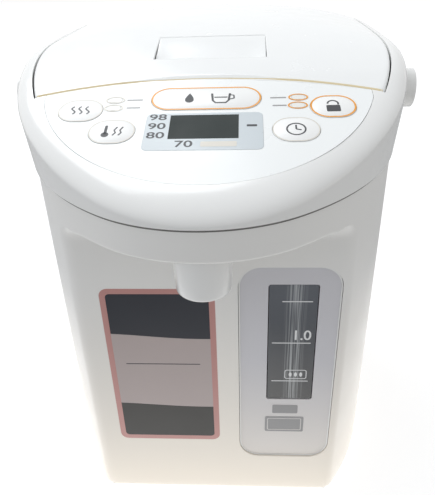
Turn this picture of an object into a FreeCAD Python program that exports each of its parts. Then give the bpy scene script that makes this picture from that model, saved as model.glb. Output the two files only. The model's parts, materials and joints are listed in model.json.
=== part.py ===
import FreeCAD, Part
import Sketcher
import math
import os
from FreeCAD import Vector

doc = FreeCAD.newDocument("thermo_pot")
sheet = doc.addObject("Spreadsheet::Sheet", "sizes")

# Driving sizes in millimetres and degrees, the water axis at x = 0
DRIVING = [
    # outer form, seen from above
    ("head_width", 221.4), ("nose_reach", 150.9), ("rear_reach", 128.0), ("nose_radius", 80.0),
    ("side_arc_y", 10.0), ("rear_corner", 52.0), ("body_inset", 3.9), ("nose_overhang", 47.4),
    # outer form, seen from the side
    ("case_bottom", 4.0), ("nose_floor", 213.4), ("nose_blend", 12.0), ("seam_level", 227.5),
    ("seam_gap", 0.3), ("rim_level", 257.8), ("panel_tilt", 19.5), ("panel_rear_y", 48.3),
    ("panel_rear_level", 270.7), ("crest_level", 292.0), ("crest_y", 100.8), ("crown_radius", 480.0),
    ("case_wall", 2.5), ("fit_gap", 0.3), ("slide_gap", 0.25), ("pin_gap", 0.05),
    # lid
    ("lid_inset", 9.6), ("lid_gap", 0.6), ("lid_front_y", 51.0),
    ("lid_front_radius", 290.0), ("lid_skirt_level", 258.0), ("lid_base_thick", 3.0),
    ("hinge_stand", 1.6), ("hinge_level", 261.2), ("hinge_pin_r", 1.5), ("knuckle_r", 3.2),
    ("knuckle_x", 15.0), ("knuckle_long", 18.0), ("ear_thick", 3.9), ("ear_gap", 0.3), ("ear_low", 252.0),
    ("funnel_clear", 19.0), ("lid_base_clear", 23.0),
    # carry handle
    ("grip_clear", 6.0), ("handle_level", 251.0), ("handle_rest", 5.0), ("grip_r", 5.5),
    ("hub_r", 11.5), ("hub_clear", 0.9), ("hub_thick", 10.9), ("arm_clear", 1.7),
    ("arm_thick", 7.0), ("arm_deep", 11.0), ("pin_r", 5.0), ("pin_head_r", 8.0), ("pin_head_deep", 6.6),
    ("pin_cover", 4.0),
    # water vessel
    ("vessel_y", 18.0), ("vessel_r", 68.0), ("vessel_base", 65.0), ("vessel_wall", 1.0),
    ("shoulder_level", 208.0), ("neck_r", 56.0), ("neck_level", 222.0), ("mouth_level", 231.0),
    ("vacuum_gap", 7.0), ("mouth_flange", 5.0), ("outlet_r", 6.0), ("outlet_drop", 8.0),
    ("heater_r", 55.0), ("heater_thick", 3.0), ("clamp_thick", 1.5),
    ("funnel_floor", 236.0), ("funnel_wall", 2.0),
    # base and turntable
    ("turn_y", 10.0), ("base_level", 4.5), ("base_thick", 3.0), ("pan_r", 80.0),
    ("pan_floor", 11.5), ("pan_thick", 2.5), ("disc_r", 77.0), ("disc_level", 1.2),
    ("disc_thick", 3.0), ("rail_r", 64.0), ("rail_wide", 4.0), ("rivet_r", 4.0),
    ("rivet_head_r", 9.0), ("washer_thick", 0.8), ("pad_r", 6.0), ("pad_thick", 2.0),
    ("pad_circle", 70.0), ("boss_r", 6.0), ("boss_x", 99.0), ("boss_front_y", 8.0),
    ("boss_rear_y", 66.0), ("boss_top", 32.0), ("screw_r", 2.0), ("screw_head_r", 4.0),
    # pump and motor
    ("motor_r", 17.0), ("motor_level", 17.5), ("motor_tall", 14.0), ("magnet_r", 12.0),
    ("pump_r", 22.0), ("pump_level", 38.0), ("chamber_r", 16.0), ("impeller_r", 14.5),
    ("nipple_r", 5.0), ("nipple_bore", 3.6), ("hose_wall", 1.5), ("pump_out_x", 11.0),
    # level tube and spout
    ("tube_x", 45.9), ("tube_back", 15.0), ("tube_r", 5.0), ("tube_bore", 4.0),
    ("tube_low", 60.0), ("tube_high", 184.0), ("spout_back", 20.9), ("spout_r", 14.0),
    ("spout_low", 179.0), ("nozzle_low", 184.0), ("spout_wall", 1.8), ("crossover", 222.5),
    ("valve_r", 9.0), ("valve_tall", 20.0), ("ball_r", 4.2),
    # gauge on the front face
    ("gauge_left", 15.6), ("gauge_right", 72.0), ("gauge_low", 38.5), ("gauge_high", 183.5),
    ("gauge_round", 12.0), ("gauge_sink", 1.2), ("gauge_lip", 1.2),
    ("window_half", 13.4), ("window_low", 88.6), ("window_high", 171.4),
    # control panel, along its own tilted face
    ("sheet_half", 84.0), ("sheet_thick", 1.2), ("sheet_corner", 17.0),
    ("sheet_rear_radius", 300.0), ("sheet_front_radius", 87.0), ("key_gap", 0.25),
    ("key_rise", 0.3), ("key_lip", 1.2), ("key_depth", 2.3), ("stem_r", 2.0), ("stem_low", 8.0),
    ("board_top", 12.4), ("board_thick", 1.6), ("switch_gap", 0.4), ("switch_size", 6.0),
    ("dispense_half", 28.0), ("dispense_tall", 19.6), ("dispense_at", 22.3),
    ("oval_tall", 18.4), ("lcd_half", 28.5), ("lcd_tall", 29.2),
    ("lcd_at", 49.3), ("glass_half", 16.8), ("glass_tall", 19.0), ("glass_at", 45.9),
    ("lens_r", 2.0), ("post_r", 3.0),
    # lid lever in its scoop
    ("lever_half", 32.0), ("lever_long", 34.0), ("lever_thick", 3.0), ("lever_rear_y", 4.0),
    ("lever_level", 283.0), ("lever_slope", 20.0), ("lever_gap", 0.6), ("tray_floor", 261.0),
    # power inlet
    ("inlet_half", 19.0), ("inlet_low", 24.0), ("inlet_tall", 24.0), ("inlet_deep", 14.0),
    ("board_level", 22.0), ("board_left", 42.0), ("board_wide", 50.0), ("board_clear", 36.0),
    ("board_deep", 38.0), ("board_post_in", 6.0),
]
HEIGHTS_ABOVE = 320.0
for row, (word, number) in enumerate(DRIVING, start=1):
    sheet.set(f"A{row}", word)
    sheet.set(f"B{row}", str(number))
    sheet.setAlias(f"B{row}", word)
doc.recompute()


class Size:
    """A number that remembers the sheet expression it came from."""

    def __init__(self, value, text):
        self.value = value
        self.text = text

    @staticmethod
    def of(other):
        return other if isinstance(other, Size) else Size(float(other), repr(float(other)))

    def __add__(self, other):
        other = Size.of(other)
        return Size(self.value + other.value, f"({self.text} + {other.text})")

    def __radd__(self, other):
        return Size.of(other) + self

    def __sub__(self, other):
        other = Size.of(other)
        return Size(self.value - other.value, f"({self.text} - {other.text})")

    def __rsub__(self, other):
        return Size.of(other) - self

    def __mul__(self, other):
        other = Size.of(other)
        return Size(self.value * other.value, f"({self.text} * {other.text})")

    def __rmul__(self, other):
        return Size.of(other) * self

    def __truediv__(self, other):
        other = Size.of(other)
        return Size(self.value / other.value, f"({self.text} / {other.text})")

    def __neg__(self):
        return Size(-self.value, f"(-1 * {self.text})")


def root(size):
    return Size(math.sqrt(size.value), f"sqrt({size.text})")


def cosine(angle):
    return Size(math.cos(math.radians(angle.value)), f"cos({angle.text})")


def sine(angle):
    return Size(math.sin(math.radians(angle.value)), f"sin({angle.text})")


class Sizes:
    pass


d = Sizes()
for word, number in DRIVING:
    setattr(d, word, Size(float(sheet.get(word)), f"sizes.{word}"))

# Sizes worked out from the driving ones
half_width = d.head_width / 2
tip_y = d.nose_radius - d.nose_reach
arc_run = tip_y + d.side_arc_y
side_radius = (half_width * half_width + arc_run * arc_run - d.nose_radius * d.nose_radius) / (
    (half_width - d.nose_radius) * 2)
side_x = half_width - side_radius
tangent_x = -side_x / (side_radius - d.nose_radius)
tangent_y = arc_run / (side_radius - d.nose_radius)
front_flat = d.nose_reach - d.nose_overhang
tube_y = front_flat - d.tube_back
spout_y = d.nose_reach - d.spout_back
hinge_y = d.rear_reach + d.hinge_stand
funnel_rear = d.rear_reach - d.funnel_clear
lid_base_rear = d.rear_reach - d.lid_base_clear
hub_inner_x = half_width + d.hub_clear
hub_outer_x = hub_inner_x + d.hub_thick
arm_inner_x = half_width + d.arm_clear
handle_arm = d.rear_reach + d.grip_clear + d.grip_r
grip_reach = handle_arm * cosine(d.handle_rest) + d.grip_r
front_flare = d.body_inset * 0.7 / (d.rim_level - d.seam_level - d.seam_gap)
panel_fall = sine(d.panel_tilt) / cosine(d.panel_tilt)
panel_drop = d.rim_level - d.panel_rear_level - panel_fall * d.panel_rear_y
front_tip = (d.nose_reach - front_flare * panel_drop) / (1 + front_flare * panel_fall)
axis_y = (front_tip - grip_reach) / 2
inner_inset = d.body_inset + d.case_wall
vessel_out = d.vessel_r + d.vessel_wall
jacket_in = vessel_out + d.vacuum_gap
hose_out = d.tube_r + d.hose_wall

nodes = {}


# Helpers that bind a shape's sizes to the sheet
def bind(obj, prop, size):
    size = Size.of(size)
    obj.setExpression(prop, size.text)


def at(obj, x=0, y=0, z=0):
    for letter, size in (("x", x), ("y", y), ("z", z)):
        bind(obj, f".Placement.Base.{letter}", size)
    return obj


def turned(obj, axis, angle):
    obj.Placement = FreeCAD.Placement(Vector(), FreeCAD.Rotation(axis, angle))
    return obj


def cylinder(r, low, high, x=0, y=0):
    obj = doc.addObject("Part::Cylinder", "cylinder")
    bind(obj, "Radius", r)
    bind(obj, "Height", Size.of(high) - low)
    return at(obj, x, y, low)


def cylinder_x(r, low, high, y, z):
    obj = turned(doc.addObject("Part::Cylinder", "cylinder"), Vector(0, 1, 0), 90)
    bind(obj, "Radius", r)
    bind(obj, "Height", Size.of(high) - low)
    return at(obj, low, y, z)


def cylinder_y(r, low, high, x, z):
    obj = turned(doc.addObject("Part::Cylinder", "cylinder"), Vector(1, 0, 0), -90)
    bind(obj, "Radius", r)
    bind(obj, "Height", Size.of(high) - low)
    return at(obj, x, low, z)


def box(x0, x1, y0, y1, z0, z1):
    obj = doc.addObject("Part::Box", "box")
    bind(obj, "Length", Size.of(x1) - x0)
    bind(obj, "Width", Size.of(y1) - y0)
    bind(obj, "Height", Size.of(z1) - z0)
    return at(obj, x0, y0, z0)


def ball(r, x, y, z):
    obj = doc.addObject("Part::Sphere", "ball")
    bind(obj, "Radius", r)
    return at(obj, x, y, z)


def fuse(*shapes):
    obj = doc.addObject("Part::MultiFuse", "fuse")
    obj.Shapes = list(shapes)
    return obj


def group(*shapes):
    obj = doc.addObject("Part::Compound", "group")
    obj.Links = list(shapes)
    return obj


def cut(base, *tools):
    obj = doc.addObject("Part::Cut", "cut")
    obj.Base = base
    obj.Tool = tools[0] if len(tools) == 1 else fuse(*tools)
    return obj


def common(base, tool):
    obj = doc.addObject("Part::Common", "common")
    obj.Base = base
    obj.Tool = tool
    return obj


def ring(r_out, r_in, low, high, x=0, y=0):
    return cut(cylinder(r_out, low, high, x, y), cylinder(r_in, low - 1, Size.of(high) + 1, x, y))


def node(label, obj, y=axis_y, z=0):
    """Names a finished sub-part and carries it to the part's own frame."""
    holder = obj
    if obj.TypeId in ("Part::Box", "Part::Cylinder", "Part::Sphere"):
        holder = group(obj)
    holder.Label = label
    at(holder, 0, y, z)
    nodes[label] = holder
    return holder


def on_panel(label, obj):
    """Names a sub-part drawn on the tilted control panel and lays it there."""
    obj.Label = label
    tilt(obj)
    nodes[label] = obj
    return obj


def tilt(obj):
    obj.Placement = FreeCAD.Placement(Vector(), FreeCAD.Rotation(Vector(1, 0, 0), 1))
    bind(obj, ".Placement.Rotation.Angle", d.panel_tilt)
    return at(obj, 0, axis_y - d.panel_rear_y, d.panel_rear_level)


def untilted(obj):
    """A panel tool used inside the pot's own frame, before its node is carried."""
    obj.Placement = FreeCAD.Placement(Vector(), FreeCAD.Rotation(Vector(1, 0, 0), 1))
    bind(obj, ".Placement.Rotation.Angle", d.panel_tilt)
    return at(obj, 0, -d.panel_rear_y, d.panel_rear_level)


def plane_of(body, role):
    return [item for item in body.Origin.OriginFeatures if item.Role == role][0]


def arc_of(p, q, radius, turn):
    chord = q - p
    middle = (p + q) * 0.5
    side = Vector(-chord.y, chord.x, 0).normalize() * turn
    centre = middle + side * math.sqrt(max(radius * radius - chord.Length ** 2 / 4, 0))
    a, b = (p, q) if turn > 0 else (q, p)
    start = math.atan2(a.y - centre.y, a.x - centre.x)
    end = math.atan2(b.y - centre.y, b.x - centre.x)
    return Part.ArcOfCircle(Part.Circle(centre, Vector(0, 0, 1), radius), start, end)


def draw(sketch, outline):
    """A closed outline of (x, y) corners; (x, y, radius, turn) starts an arc to the next corner."""
    count = len(outline)
    places = [[Size.of(p[0]), Size.of(p[1])] for p in outline]
    first = sketch.GeometryCount
    ends = []
    for i, corner in enumerate(outline):
        p = Vector(places[i][0].value, places[i][1].value, 0)
        after = places[(i + 1) % count]
        q = Vector(after[0].value, after[1].value, 0)
        if len(corner) == 2:
            sketch.addGeometry(Part.LineSegment(p, q))
            ends.append((1, 2))
        else:
            sketch.addGeometry(arc_of(p, q, Size.of(corner[2]).value, corner[3]))
            ends.append((1, 2) if corner[3] > 0 else (2, 1))
    for i, corner in enumerate(outline):
        here, after = first + i, first + (i + 1) % count
        sketch.addConstraint(Sketcher.Constraint(
            "Coincident", here, ends[i][1], after, ends[(i + 1) % count][0]))
        for kind, size in zip(("DistanceX", "DistanceY"), places[i]):
            index = sketch.addConstraint(Sketcher.Constraint(
                kind, -1, 1, here, ends[i][0], size.value))
            sketch.setExpression(f"Constraints[{index}]", size.text)
        if len(corner) > 2:
            radius = Size.of(corner[2])
            index = sketch.addConstraint(Sketcher.Constraint("Radius", here, radius.value))
            sketch.setExpression(f"Constraints[{index}]", radius.text)


def new_body():
    return doc.addObject("PartDesign::Body", "body")


def sketch_on(body, role, *outlines, lift=0):
    sketch = body.newObject("Sketcher::SketchObject", "sketch")
    sketch.AttachmentSupport = [(plane_of(body, role), "")]
    sketch.MapMode = "FlatFace"
    bind(sketch, ".AttachmentOffset.Base.z", lift)
    for outline in outlines:
        draw(sketch, outline)
    return sketch


def pad(body, outline, low, high, role="XY_Plane"):
    feature = body.newObject("PartDesign::Pad", "pad")
    feature.Profile = sketch_on(body, role, outline, lift=low)
    bind(feature, "Length", Size.of(high) - low)
    return feature


def pocket(body, outline, low, high, role="XY_Plane"):
    """Cuts the outline's prism away, from low up to high."""
    feature = body.newObject("PartDesign::Pocket", "pocket")
    feature.Profile = sketch_on(body, role, outline, lift=low)
    bind(feature, "Length", Size.of(high) - low)
    feature.Reversed = True
    return feature


def across(body, outline, role):
    """Cuts the outline right through, to both sides of its plane."""
    feature = body.newObject("PartDesign::Pocket", "pocket")
    feature.Profile = sketch_on(body, role, outline)
    feature.Midplane = True
    bind(feature, "Length", d.head_width * 2)
    return feature


def turn(body, outline, kind="PartDesign::Revolution"):
    feature = body.newObject(kind, "turn")
    feature.Profile = sketch_on(body, "XZ_Plane", outline)
    feature.ReferenceAxis = (feature.Profile[0], ["V_Axis"])
    feature.Angle = 360
    return feature


def turned_part(outline):
    body = new_body()
    turn(body, outline)
    return body


def prism(outline, low, high, role="XY_Plane"):
    body = new_body()
    pad(body, outline, low, high, role)
    return body


def rect(x0, x1, y0, y1):
    return [(x0, y0), (x1, y0), (x1, y1), (x0, y1)]


def round_rect(x0, x1, y0, y1, r):
    x0, x1, y0, y1, r = (Size.of(v) for v in (x0, x1, y0, y1, r))
    return [(x0 + r, y0), (x1 - r, y0, r, 1), (x1, y0 + r), (x1, y1 - r, r, 1),
            (x1 - r, y1), (x0 + r, y1, r, 1), (x0, y1 - r), (x0, y0 + r, r, 1)]


def oval(cx, cy, long, tall):
    """A stadium outline, its long way along X, with a hair of straight at each end."""
    half, rise = Size.of(long) / 2, Size.of(tall) / 2
    return round_rect(cx - half, cx + half, cy - rise, cy + rise, rise * 0.98)


def head_plan(inset):
    """The head seen from above: a nose arc, two side arcs, straight sides and a rounded rear."""
    inset = Size.of(inset)
    tip, side, corner = d.nose_radius - inset, side_radius - inset, d.rear_corner - inset
    tx, ty = tangent_x * tip, tip_y + tangent_y * tip
    x = half_width - inset
    rear = d.rear_reach - inset
    return [(-tx, ty, tip, 1), (tx, ty, side, 1), (x, -d.side_arc_y),
            (x, d.rear_reach - d.rear_corner, corner, 1),
            (half_width - d.rear_corner, rear), (d.rear_corner - half_width, rear, corner, 1),
            (-x, d.rear_reach - d.rear_corner), (-x, -d.side_arc_y, side, 1)]


def flat_plan(inset, front):
    """The body seen from above: the head's plan with its nose cut off flat."""
    inset = Size.of(inset)
    side, corner = side_radius - inset, d.rear_corner - inset
    run = front - d.side_arc_y
    fx = side_x + root(side * side - run * run)
    x = half_width - inset
    rear = d.rear_reach - inset
    return [(-fx, -front), (fx, -front, side, 1), (x, -d.side_arc_y),
            (x, d.rear_reach - d.rear_corner, corner, 1),
            (half_width - d.rear_corner, rear), (d.rear_corner - half_width, rear, corner, 1),
            (-x, d.rear_reach - d.rear_corner), (-x, -d.side_arc_y, side, 1)]


def lid_plan(inset, front_gap, rear):
    """The lid seen from above: a hollow front arc, sides beside the head's, rounded rear."""
    inset = Size.of(inset)
    front, side = d.lid_front_radius - front_gap, side_radius - inset
    front_cy = -d.lid_front_y - d.lid_front_radius
    rise = -d.side_arc_y - front_cy
    apart = root(side_x * side_x + rise * rise)
    along = (front * front - side * side + apart * apart) / (apart * 2)
    off = root(front * front - along * along)
    cx = (along * side_x + off * rise) / apart
    cy = front_cy + (along * rise - off * side_x) / apart
    x = half_width - inset
    corner = d.rear_corner - inset
    corner_y = Size.of(rear) - corner
    return [(cx, cy, side, 1), (x, -d.side_arc_y), (x, corner_y, corner, 1),
            (x - corner, rear), (corner - x, rear, corner, 1),
            (-x, corner_y), (-x, -d.side_arc_y, side, 1), (-cx, cy, front, -1)]


def head_form(inset, drop):
    """The head's closed form, set in by inset and down by drop."""
    inset, drop = Size.of(inset), Size.of(drop)
    body = new_body()
    loft = body.newObject("PartDesign::AdditiveLoft", "loft")
    low = sketch_on(body, "XY_Plane", head_plan(inset + d.body_inset * 0.7), lift=d.seam_level + d.seam_gap)
    high = sketch_on(body, "XY_Plane", head_plan(inset), lift=d.rim_level)
    loft.Profile = low
    loft.Sections = [high]
    loft.Ruled = True
    pad(body, head_plan(inset), d.rim_level, HEIGHTS_ABOVE)
    reach = d.nose_reach + 10
    slope = (d.panel_rear_level - drop) - (reach - d.panel_rear_y) * sine(d.panel_tilt) / cosine(d.panel_tilt)
    run = d.crest_y + d.panel_rear_y
    rise = d.crest_level - d.panel_rear_level
    bow = (run * run + rise * rise) / (rise * 2)
    across(body, [(-reach, slope), (-d.panel_rear_y, d.panel_rear_level - drop, bow, -1),
                  (d.crest_y, d.crest_level - drop), (reach, d.crest_level - drop),
                  (reach, HEIGHTS_ABOVE + 1), (-reach, HEIGHTS_ABOVE + 1)], "YZ_Plane")
    edge = half_width + 10
    sag = d.crown_radius - root(d.crown_radius * d.crown_radius - edge * edge)
    across(body, [(edge, d.crest_level - drop - sag, d.crown_radius, 1), (-edge, d.crest_level - drop - sag),
                  (-edge, HEIGHTS_ABOVE + 1), (edge, HEIGHTS_ABOVE + 1)], "XZ_Plane")
    return body


def rounded_path(points, radius):
    """Straight runs joined by tangent arcs of one radius."""
    edges = []
    start = points[0]
    for before, corner, after in zip(points, points[1:], points[2:]):
        inward = (before - corner).normalize()
        outward = (after - corner).normalize()
        half = inward.getAngle(outward) / 2
        reach = radius / math.tan(half)
        first, last = corner + inward * reach, corner + outward * reach
        centre = corner + (inward + outward).normalize() * (radius / math.sin(half))
        middle = centre + (corner - centre).normalize() * radius
        edges.append(Part.LineSegment(start, first).toShape())
        edges.append(Part.Arc(first, middle, last).toShape())
        start = last
    edges.append(Part.LineSegment(start, points[-1]).toShape())
    return Part.Wire(edges)


def swept(points, bend, r):
    path = rounded_path(points, bend)
    direction = points[1] - points[0]
    circle = Part.Wire([Part.Circle(points[0], direction, r).toShape()])
    return path.makePipeShell([circle], True, False)


def hose(label, points, bend, r_out, r_in):
    """A tube along straight runs and arcs, which reads the sheet in the script."""
    corners = [Vector(*(Size.of(v).value for v in p)) for p in points]
    shape = swept(corners, bend.value, r_out.value)
    if r_in is not None:
        shape = shape.cut(swept(corners, bend.value, r_in.value))
    obj = doc.addObject("Part::Feature", "hose")
    obj.Shape = shape
    obj.Label = label
    at(obj, 0, axis_y, 0)
    nodes[label] = obj
    return obj


def mirrored(obj):
    twin = doc.addObject("Part::Mirroring", "mirrored")
    twin.Source = obj
    twin.Normal = Vector(1, 0, 0)
    return twin


# Outer case: the body's plan with a flat front, and the nose collar above it
case = new_body()
pad(case, head_plan(d.body_inset), d.case_bottom, d.seam_level)
low_front = d.nose_reach + 5
across(case, [(-low_front, d.case_bottom - 5), (-front_flat, d.case_bottom - 5),
              (-front_flat, d.nose_floor - d.nose_blend, d.nose_blend, 1),
              (-front_flat - d.nose_blend, d.nose_floor), (-low_front, d.nose_floor)], "YZ_Plane")
pocket(case, flat_plan(inner_inset, front_flat - d.case_wall), d.case_bottom - 1, d.seam_level + 1)
pocket(case, head_plan(inner_inset), d.nose_floor + d.case_wall, d.seam_level + 1)
gauge_hole = round_rect(d.gauge_left, d.gauge_right, d.gauge_low, d.gauge_high, d.gauge_round)
case_bosses = [cut(cylinder(d.boss_r, d.base_level + d.base_thick, d.boss_top, x, y),
                   cylinder(d.screw_r - 0.2, d.base_level, d.boss_top - 6, x, y))
               for x in (d.boss_x, -d.boss_x) for y in (-d.boss_front_y, d.boss_rear_y)]
gauge_cutter = prism(gauge_hole, front_flat - d.case_wall - 1, front_flat + 1, "XZ_Plane")
rear_wall = d.rear_reach - d.body_inset
inlet_hole = box(-d.inlet_half, d.inlet_half, rear_wall - d.case_wall - 2, rear_wall + 2,
                 d.inlet_low, d.inlet_low + d.inlet_tall)
spout_hole = cylinder(hose_out + d.fit_gap, d.nose_floor - 1, d.nose_floor + d.case_wall + 1, 0, -spout_y)
node("outer_case", cut(fuse(case, *case_bosses), gauge_cutter, inlet_hole, spout_hole))

# Base plate with the pan that the turntable sits in
base = new_body()
plate_plan = flat_plan(inner_inset + d.fit_gap, front_flat - d.case_wall - d.fit_gap)
pad(base, plate_plan, d.base_level, d.base_level + d.base_thick)
base_holes = [cylinder(d.screw_r + 0.2, 0, 20, x, y)
              for x in (d.boss_x, -d.boss_x) for y in (-d.boss_front_y, d.boss_rear_y)]
pan_top = d.pan_floor + d.pan_thick
pan = cylinder(d.pan_r + d.pan_thick, d.base_level, pan_top, 0, d.turn_y)
pan_room = cylinder(d.pan_r, 0, d.pan_floor, 0, d.turn_y)
board_rear = d.rear_reach - d.board_clear
board_front = board_rear - d.board_deep
board_right = d.board_left + d.board_wide
board_posts = [cylinder(d.post_r, d.base_level + d.base_thick - 1, d.board_level, x, y)
               for x in (d.board_left + d.board_post_in, board_right - d.board_post_in + 2)
               for y in (board_front + d.board_post_in, board_rear - d.board_post_in + 2)]
node("base_plate", cut(fuse(base, pan, *board_posts), pan_room,
                       cylinder(d.rivet_r + d.pin_gap, 0, 20, 0, d.turn_y), *base_holes))
node("base_screws", group(*[
    fuse(cylinder(d.screw_head_r, d.base_level - 1.4, d.base_level, x, y),
         cylinder(d.screw_r - 0.2, d.base_level - 1, d.boss_top - 10, x, y))
    for x in (d.boss_x, -d.boss_x) for y in (-d.boss_front_y, d.boss_rear_y)]))

# Turntable: a disc on a rivet, with rubber pads that stand on the table
disc_top = d.disc_level + d.disc_thick
rail_top = d.pan_floor - d.fit_gap
pad_spots = [(d.pad_circle * math.cos(math.radians(a)), d.turn_y + d.pad_circle * math.sin(math.radians(a)))
             for a in range(0, 360, 60)]
disc = cut(fuse(cylinder(d.disc_r, d.disc_level, disc_top, 0, d.turn_y),
                ring(d.rail_r, d.rail_r - d.rail_wide, disc_top - 1, rail_top, 0, d.turn_y),
                cylinder(d.rivet_head_r + 4, disc_top - 1, rail_top, 0, d.turn_y)),
           cylinder(d.rivet_r, 0, 20, 0, d.turn_y),
           cylinder(d.rivet_head_r, 0, d.disc_level + 1.5, 0, d.turn_y),
           *[cylinder(d.pad_r, 0, d.pad_thick, x, y) for x, y in pad_spots])
node("turntable", disc)
node("turntable_pads", group(*[cylinder(d.pad_r, 0, d.pad_thick, x, y) for x, y in pad_spots]))
washer_top = pan_top + d.washer_thick
node("swivel_washer", ring(d.rivet_head_r + 0.6, d.rivet_r + d.fit_gap, pan_top, washer_top, 0, d.turn_y))
node("swivel_rivet", fuse(cylinder(d.rivet_head_r, d.disc_level, d.disc_level + 1.5, 0, d.turn_y),
                          cylinder(d.rivet_r, d.disc_level, washer_top + d.pin_gap, 0, d.turn_y),
                          cylinder(d.rivet_head_r, washer_top + d.pin_gap, washer_top + 1.6, 0, d.turn_y)))

# Water vessel: inner liner, vacuum jacket and mouth seal
out_r = d.outlet_r + d.vessel_wall
neck_out = d.neck_r + d.vessel_wall
liner = turned_part([
    (d.outlet_r, d.vessel_base - d.outlet_drop), (out_r, d.vessel_base - d.outlet_drop),
    (out_r, d.vessel_base), (vessel_out, d.vessel_base), (vessel_out, d.shoulder_level),
    (neck_out, d.neck_level), (neck_out, d.mouth_level - d.vessel_wall),
    (neck_out + d.mouth_flange, d.mouth_level - d.vessel_wall), (neck_out + d.mouth_flange, d.mouth_level),
    (d.neck_r, d.mouth_level), (d.neck_r, d.neck_level), (d.vessel_r, d.shoulder_level),
    (d.vessel_r, d.vessel_base + d.vessel_wall), (d.outlet_r, d.vessel_base + d.vessel_wall)])
node("vessel_liner", liner, axis_y + d.vessel_y)
jacket_out = jacket_in + d.vessel_wall
jacket = turned_part([
    (vessel_out, d.vessel_base), (jacket_out, d.vessel_base), (jacket_out, d.shoulder_level + 4),
    (neck_out + 5, d.mouth_level - 3), (neck_out, d.mouth_level - 3), (neck_out, d.mouth_level - 4),
    (neck_out + 4.4, d.mouth_level - 4), (jacket_in, d.shoulder_level + 3.6),
    (jacket_in, d.vessel_base + d.vessel_wall), (vessel_out, d.vessel_base + d.vessel_wall)])
node("vacuum_jacket", jacket, axis_y + d.vessel_y)
node("mouth_seal", ring(neck_out + d.mouth_flange, d.neck_r + 1, d.mouth_level, d.funnel_floor, 0, d.vessel_y))

# Heater pressed to the vessel's bottom, with its clamp, screws and sensors
heater_low = d.vessel_base - d.heater_thick
clamp_top = heater_low
clamp_low = clamp_top - d.clamp_thick
sensor_x = 36.0
node("heater_plate", cut(ring(d.heater_r, 22, heater_low, d.vessel_base, 0, d.vessel_y),
                         cylinder(6, heater_low - 1, d.vessel_base + 1, -sensor_x, d.vessel_y)))
screw_spots = [(46 * math.cos(math.radians(a)), 46 * math.sin(math.radians(a))) for a in (90, 210, 330)]
node("heater_clamp", cut(ring(d.heater_r + 3, 16, clamp_low, clamp_top, 0, d.vessel_y),
                         cylinder(6, clamp_low - 1, clamp_top + 1, -sensor_x, d.vessel_y),
                         *[cylinder(1.7, clamp_low - 1, clamp_top + 1, x, d.vessel_y + y) for x, y in screw_spots]))
node("heater_screws", group(*[
    fuse(cylinder(3, clamp_low - 2, clamp_low, x, d.vessel_y + y),
         cylinder(1.6, clamp_low - 1, clamp_top, x, d.vessel_y + y)) for x, y in screw_spots]))
thermistor = fuse(cylinder(5, clamp_low - 6, d.vessel_base, -sensor_x, d.vessel_y),
                  cylinder(8, clamp_low - 2, clamp_low, -sensor_x, d.vessel_y))
thermal_cutout = fuse(cylinder(8, clamp_low - 7, clamp_low, sensor_x, d.vessel_y),
                      box(sensor_x - 11, sensor_x + 11, d.vessel_y - 2, d.vessel_y + 2,
                          clamp_low - 8, clamp_low - 7))
node("heater_sensors", group(thermistor, thermal_cutout))
node("vessel_bracket", cut(
    fuse(ring(jacket_out + 3, jacket_out - 5, d.vessel_base - 2, d.vessel_base, 0, d.vessel_y),
         *[box(x - 5, x + 5, d.vessel_y + y - 5, d.vessel_y + y + 5, d.base_level + d.base_thick, d.vessel_base - 1)
           for x, y in ((30, 68), (-30, 68), (58, -48), (-58, -48))]),
    cylinder(d.pan_r + d.pan_thick + 0.3, 0, pan_top + 0.3, 0, d.turn_y)))

# Pump and motor, stacked under the vessel's outlet
pump_top = d.pump_level + 12
node("pump_bracket", ring(d.pump_r, d.pump_r - 3, pan_top, d.pump_level, 0, d.vessel_y))
motor_top = d.motor_level + d.motor_tall
node("motor_can", cut(fuse(cylinder(d.motor_r, d.motor_level, motor_top, 0, d.vessel_y),
                           ring(d.pump_r - 3, d.motor_r - 2, d.motor_level, d.motor_level + 2, 0, d.vessel_y)),
                      cylinder(1.5 + d.pin_gap, d.motor_level + 4, motor_top + 1, 0, d.vessel_y)))
node("drive_magnet", fuse(cylinder(1.5, d.motor_level + 4.3, motor_top + 2, 0, d.vessel_y),
                          cylinder(d.magnet_r, motor_top + 1.5, d.pump_level - 1, 0, d.vessel_y)))
node("pump_lower_case", fuse(cylinder(d.pump_r, d.pump_level, d.pump_level + 2, 0, d.vessel_y),
                             cylinder(1.5, d.pump_level + 1, pump_top - 3, 0, d.vessel_y)))
vane_low, vane_high = d.pump_level + 4, d.pump_level + 8
vanes = [at(turned(group(box(3, d.impeller_r - 1, -0.6, 0.6, vane_low - 0.5, vane_high)), Vector(0, 0, 1), turn_by),
            0, d.vessel_y, 0) for turn_by in range(0, 360, 60)]
node("impeller", cut(fuse(cylinder(d.impeller_r, vane_low - 1.5, vane_low, 0, d.vessel_y),
                          cylinder(4, vane_low - 1.5, vane_high, 0, d.vessel_y), *vanes),
                     cylinder(1.5 + d.pin_gap, 0, 60, 0, d.vessel_y)))
out_y = d.vessel_y - d.pump_r
hose_y = out_y - 12
out_z = d.pump_level + 7.2
node("pump_upper_case", cut(
    fuse(cylinder(d.pump_r, d.pump_level + 2, pump_top, 0, d.vessel_y),
         cylinder(out_r, pump_top - 1, pump_top + 5, 0, d.vessel_y),
         cylinder_y(d.nipple_r, hose_y, d.vessel_y - 14, d.pump_out_x, out_z)),
    cylinder(d.chamber_r, d.pump_level + 1, pump_top - 2, 0, d.vessel_y),
    cylinder(out_r - 2, pump_top - 3, pump_top + 6, 0, d.vessel_y),
    cylinder_y(d.nipple_bore, hose_y - 1, d.vessel_y - 8, d.pump_out_x, out_z)))
node("inlet_sleeve", ring(out_r + d.hose_wall + 0.8, out_r, pump_top, d.vessel_base - 0.3, 0, d.vessel_y))

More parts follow.
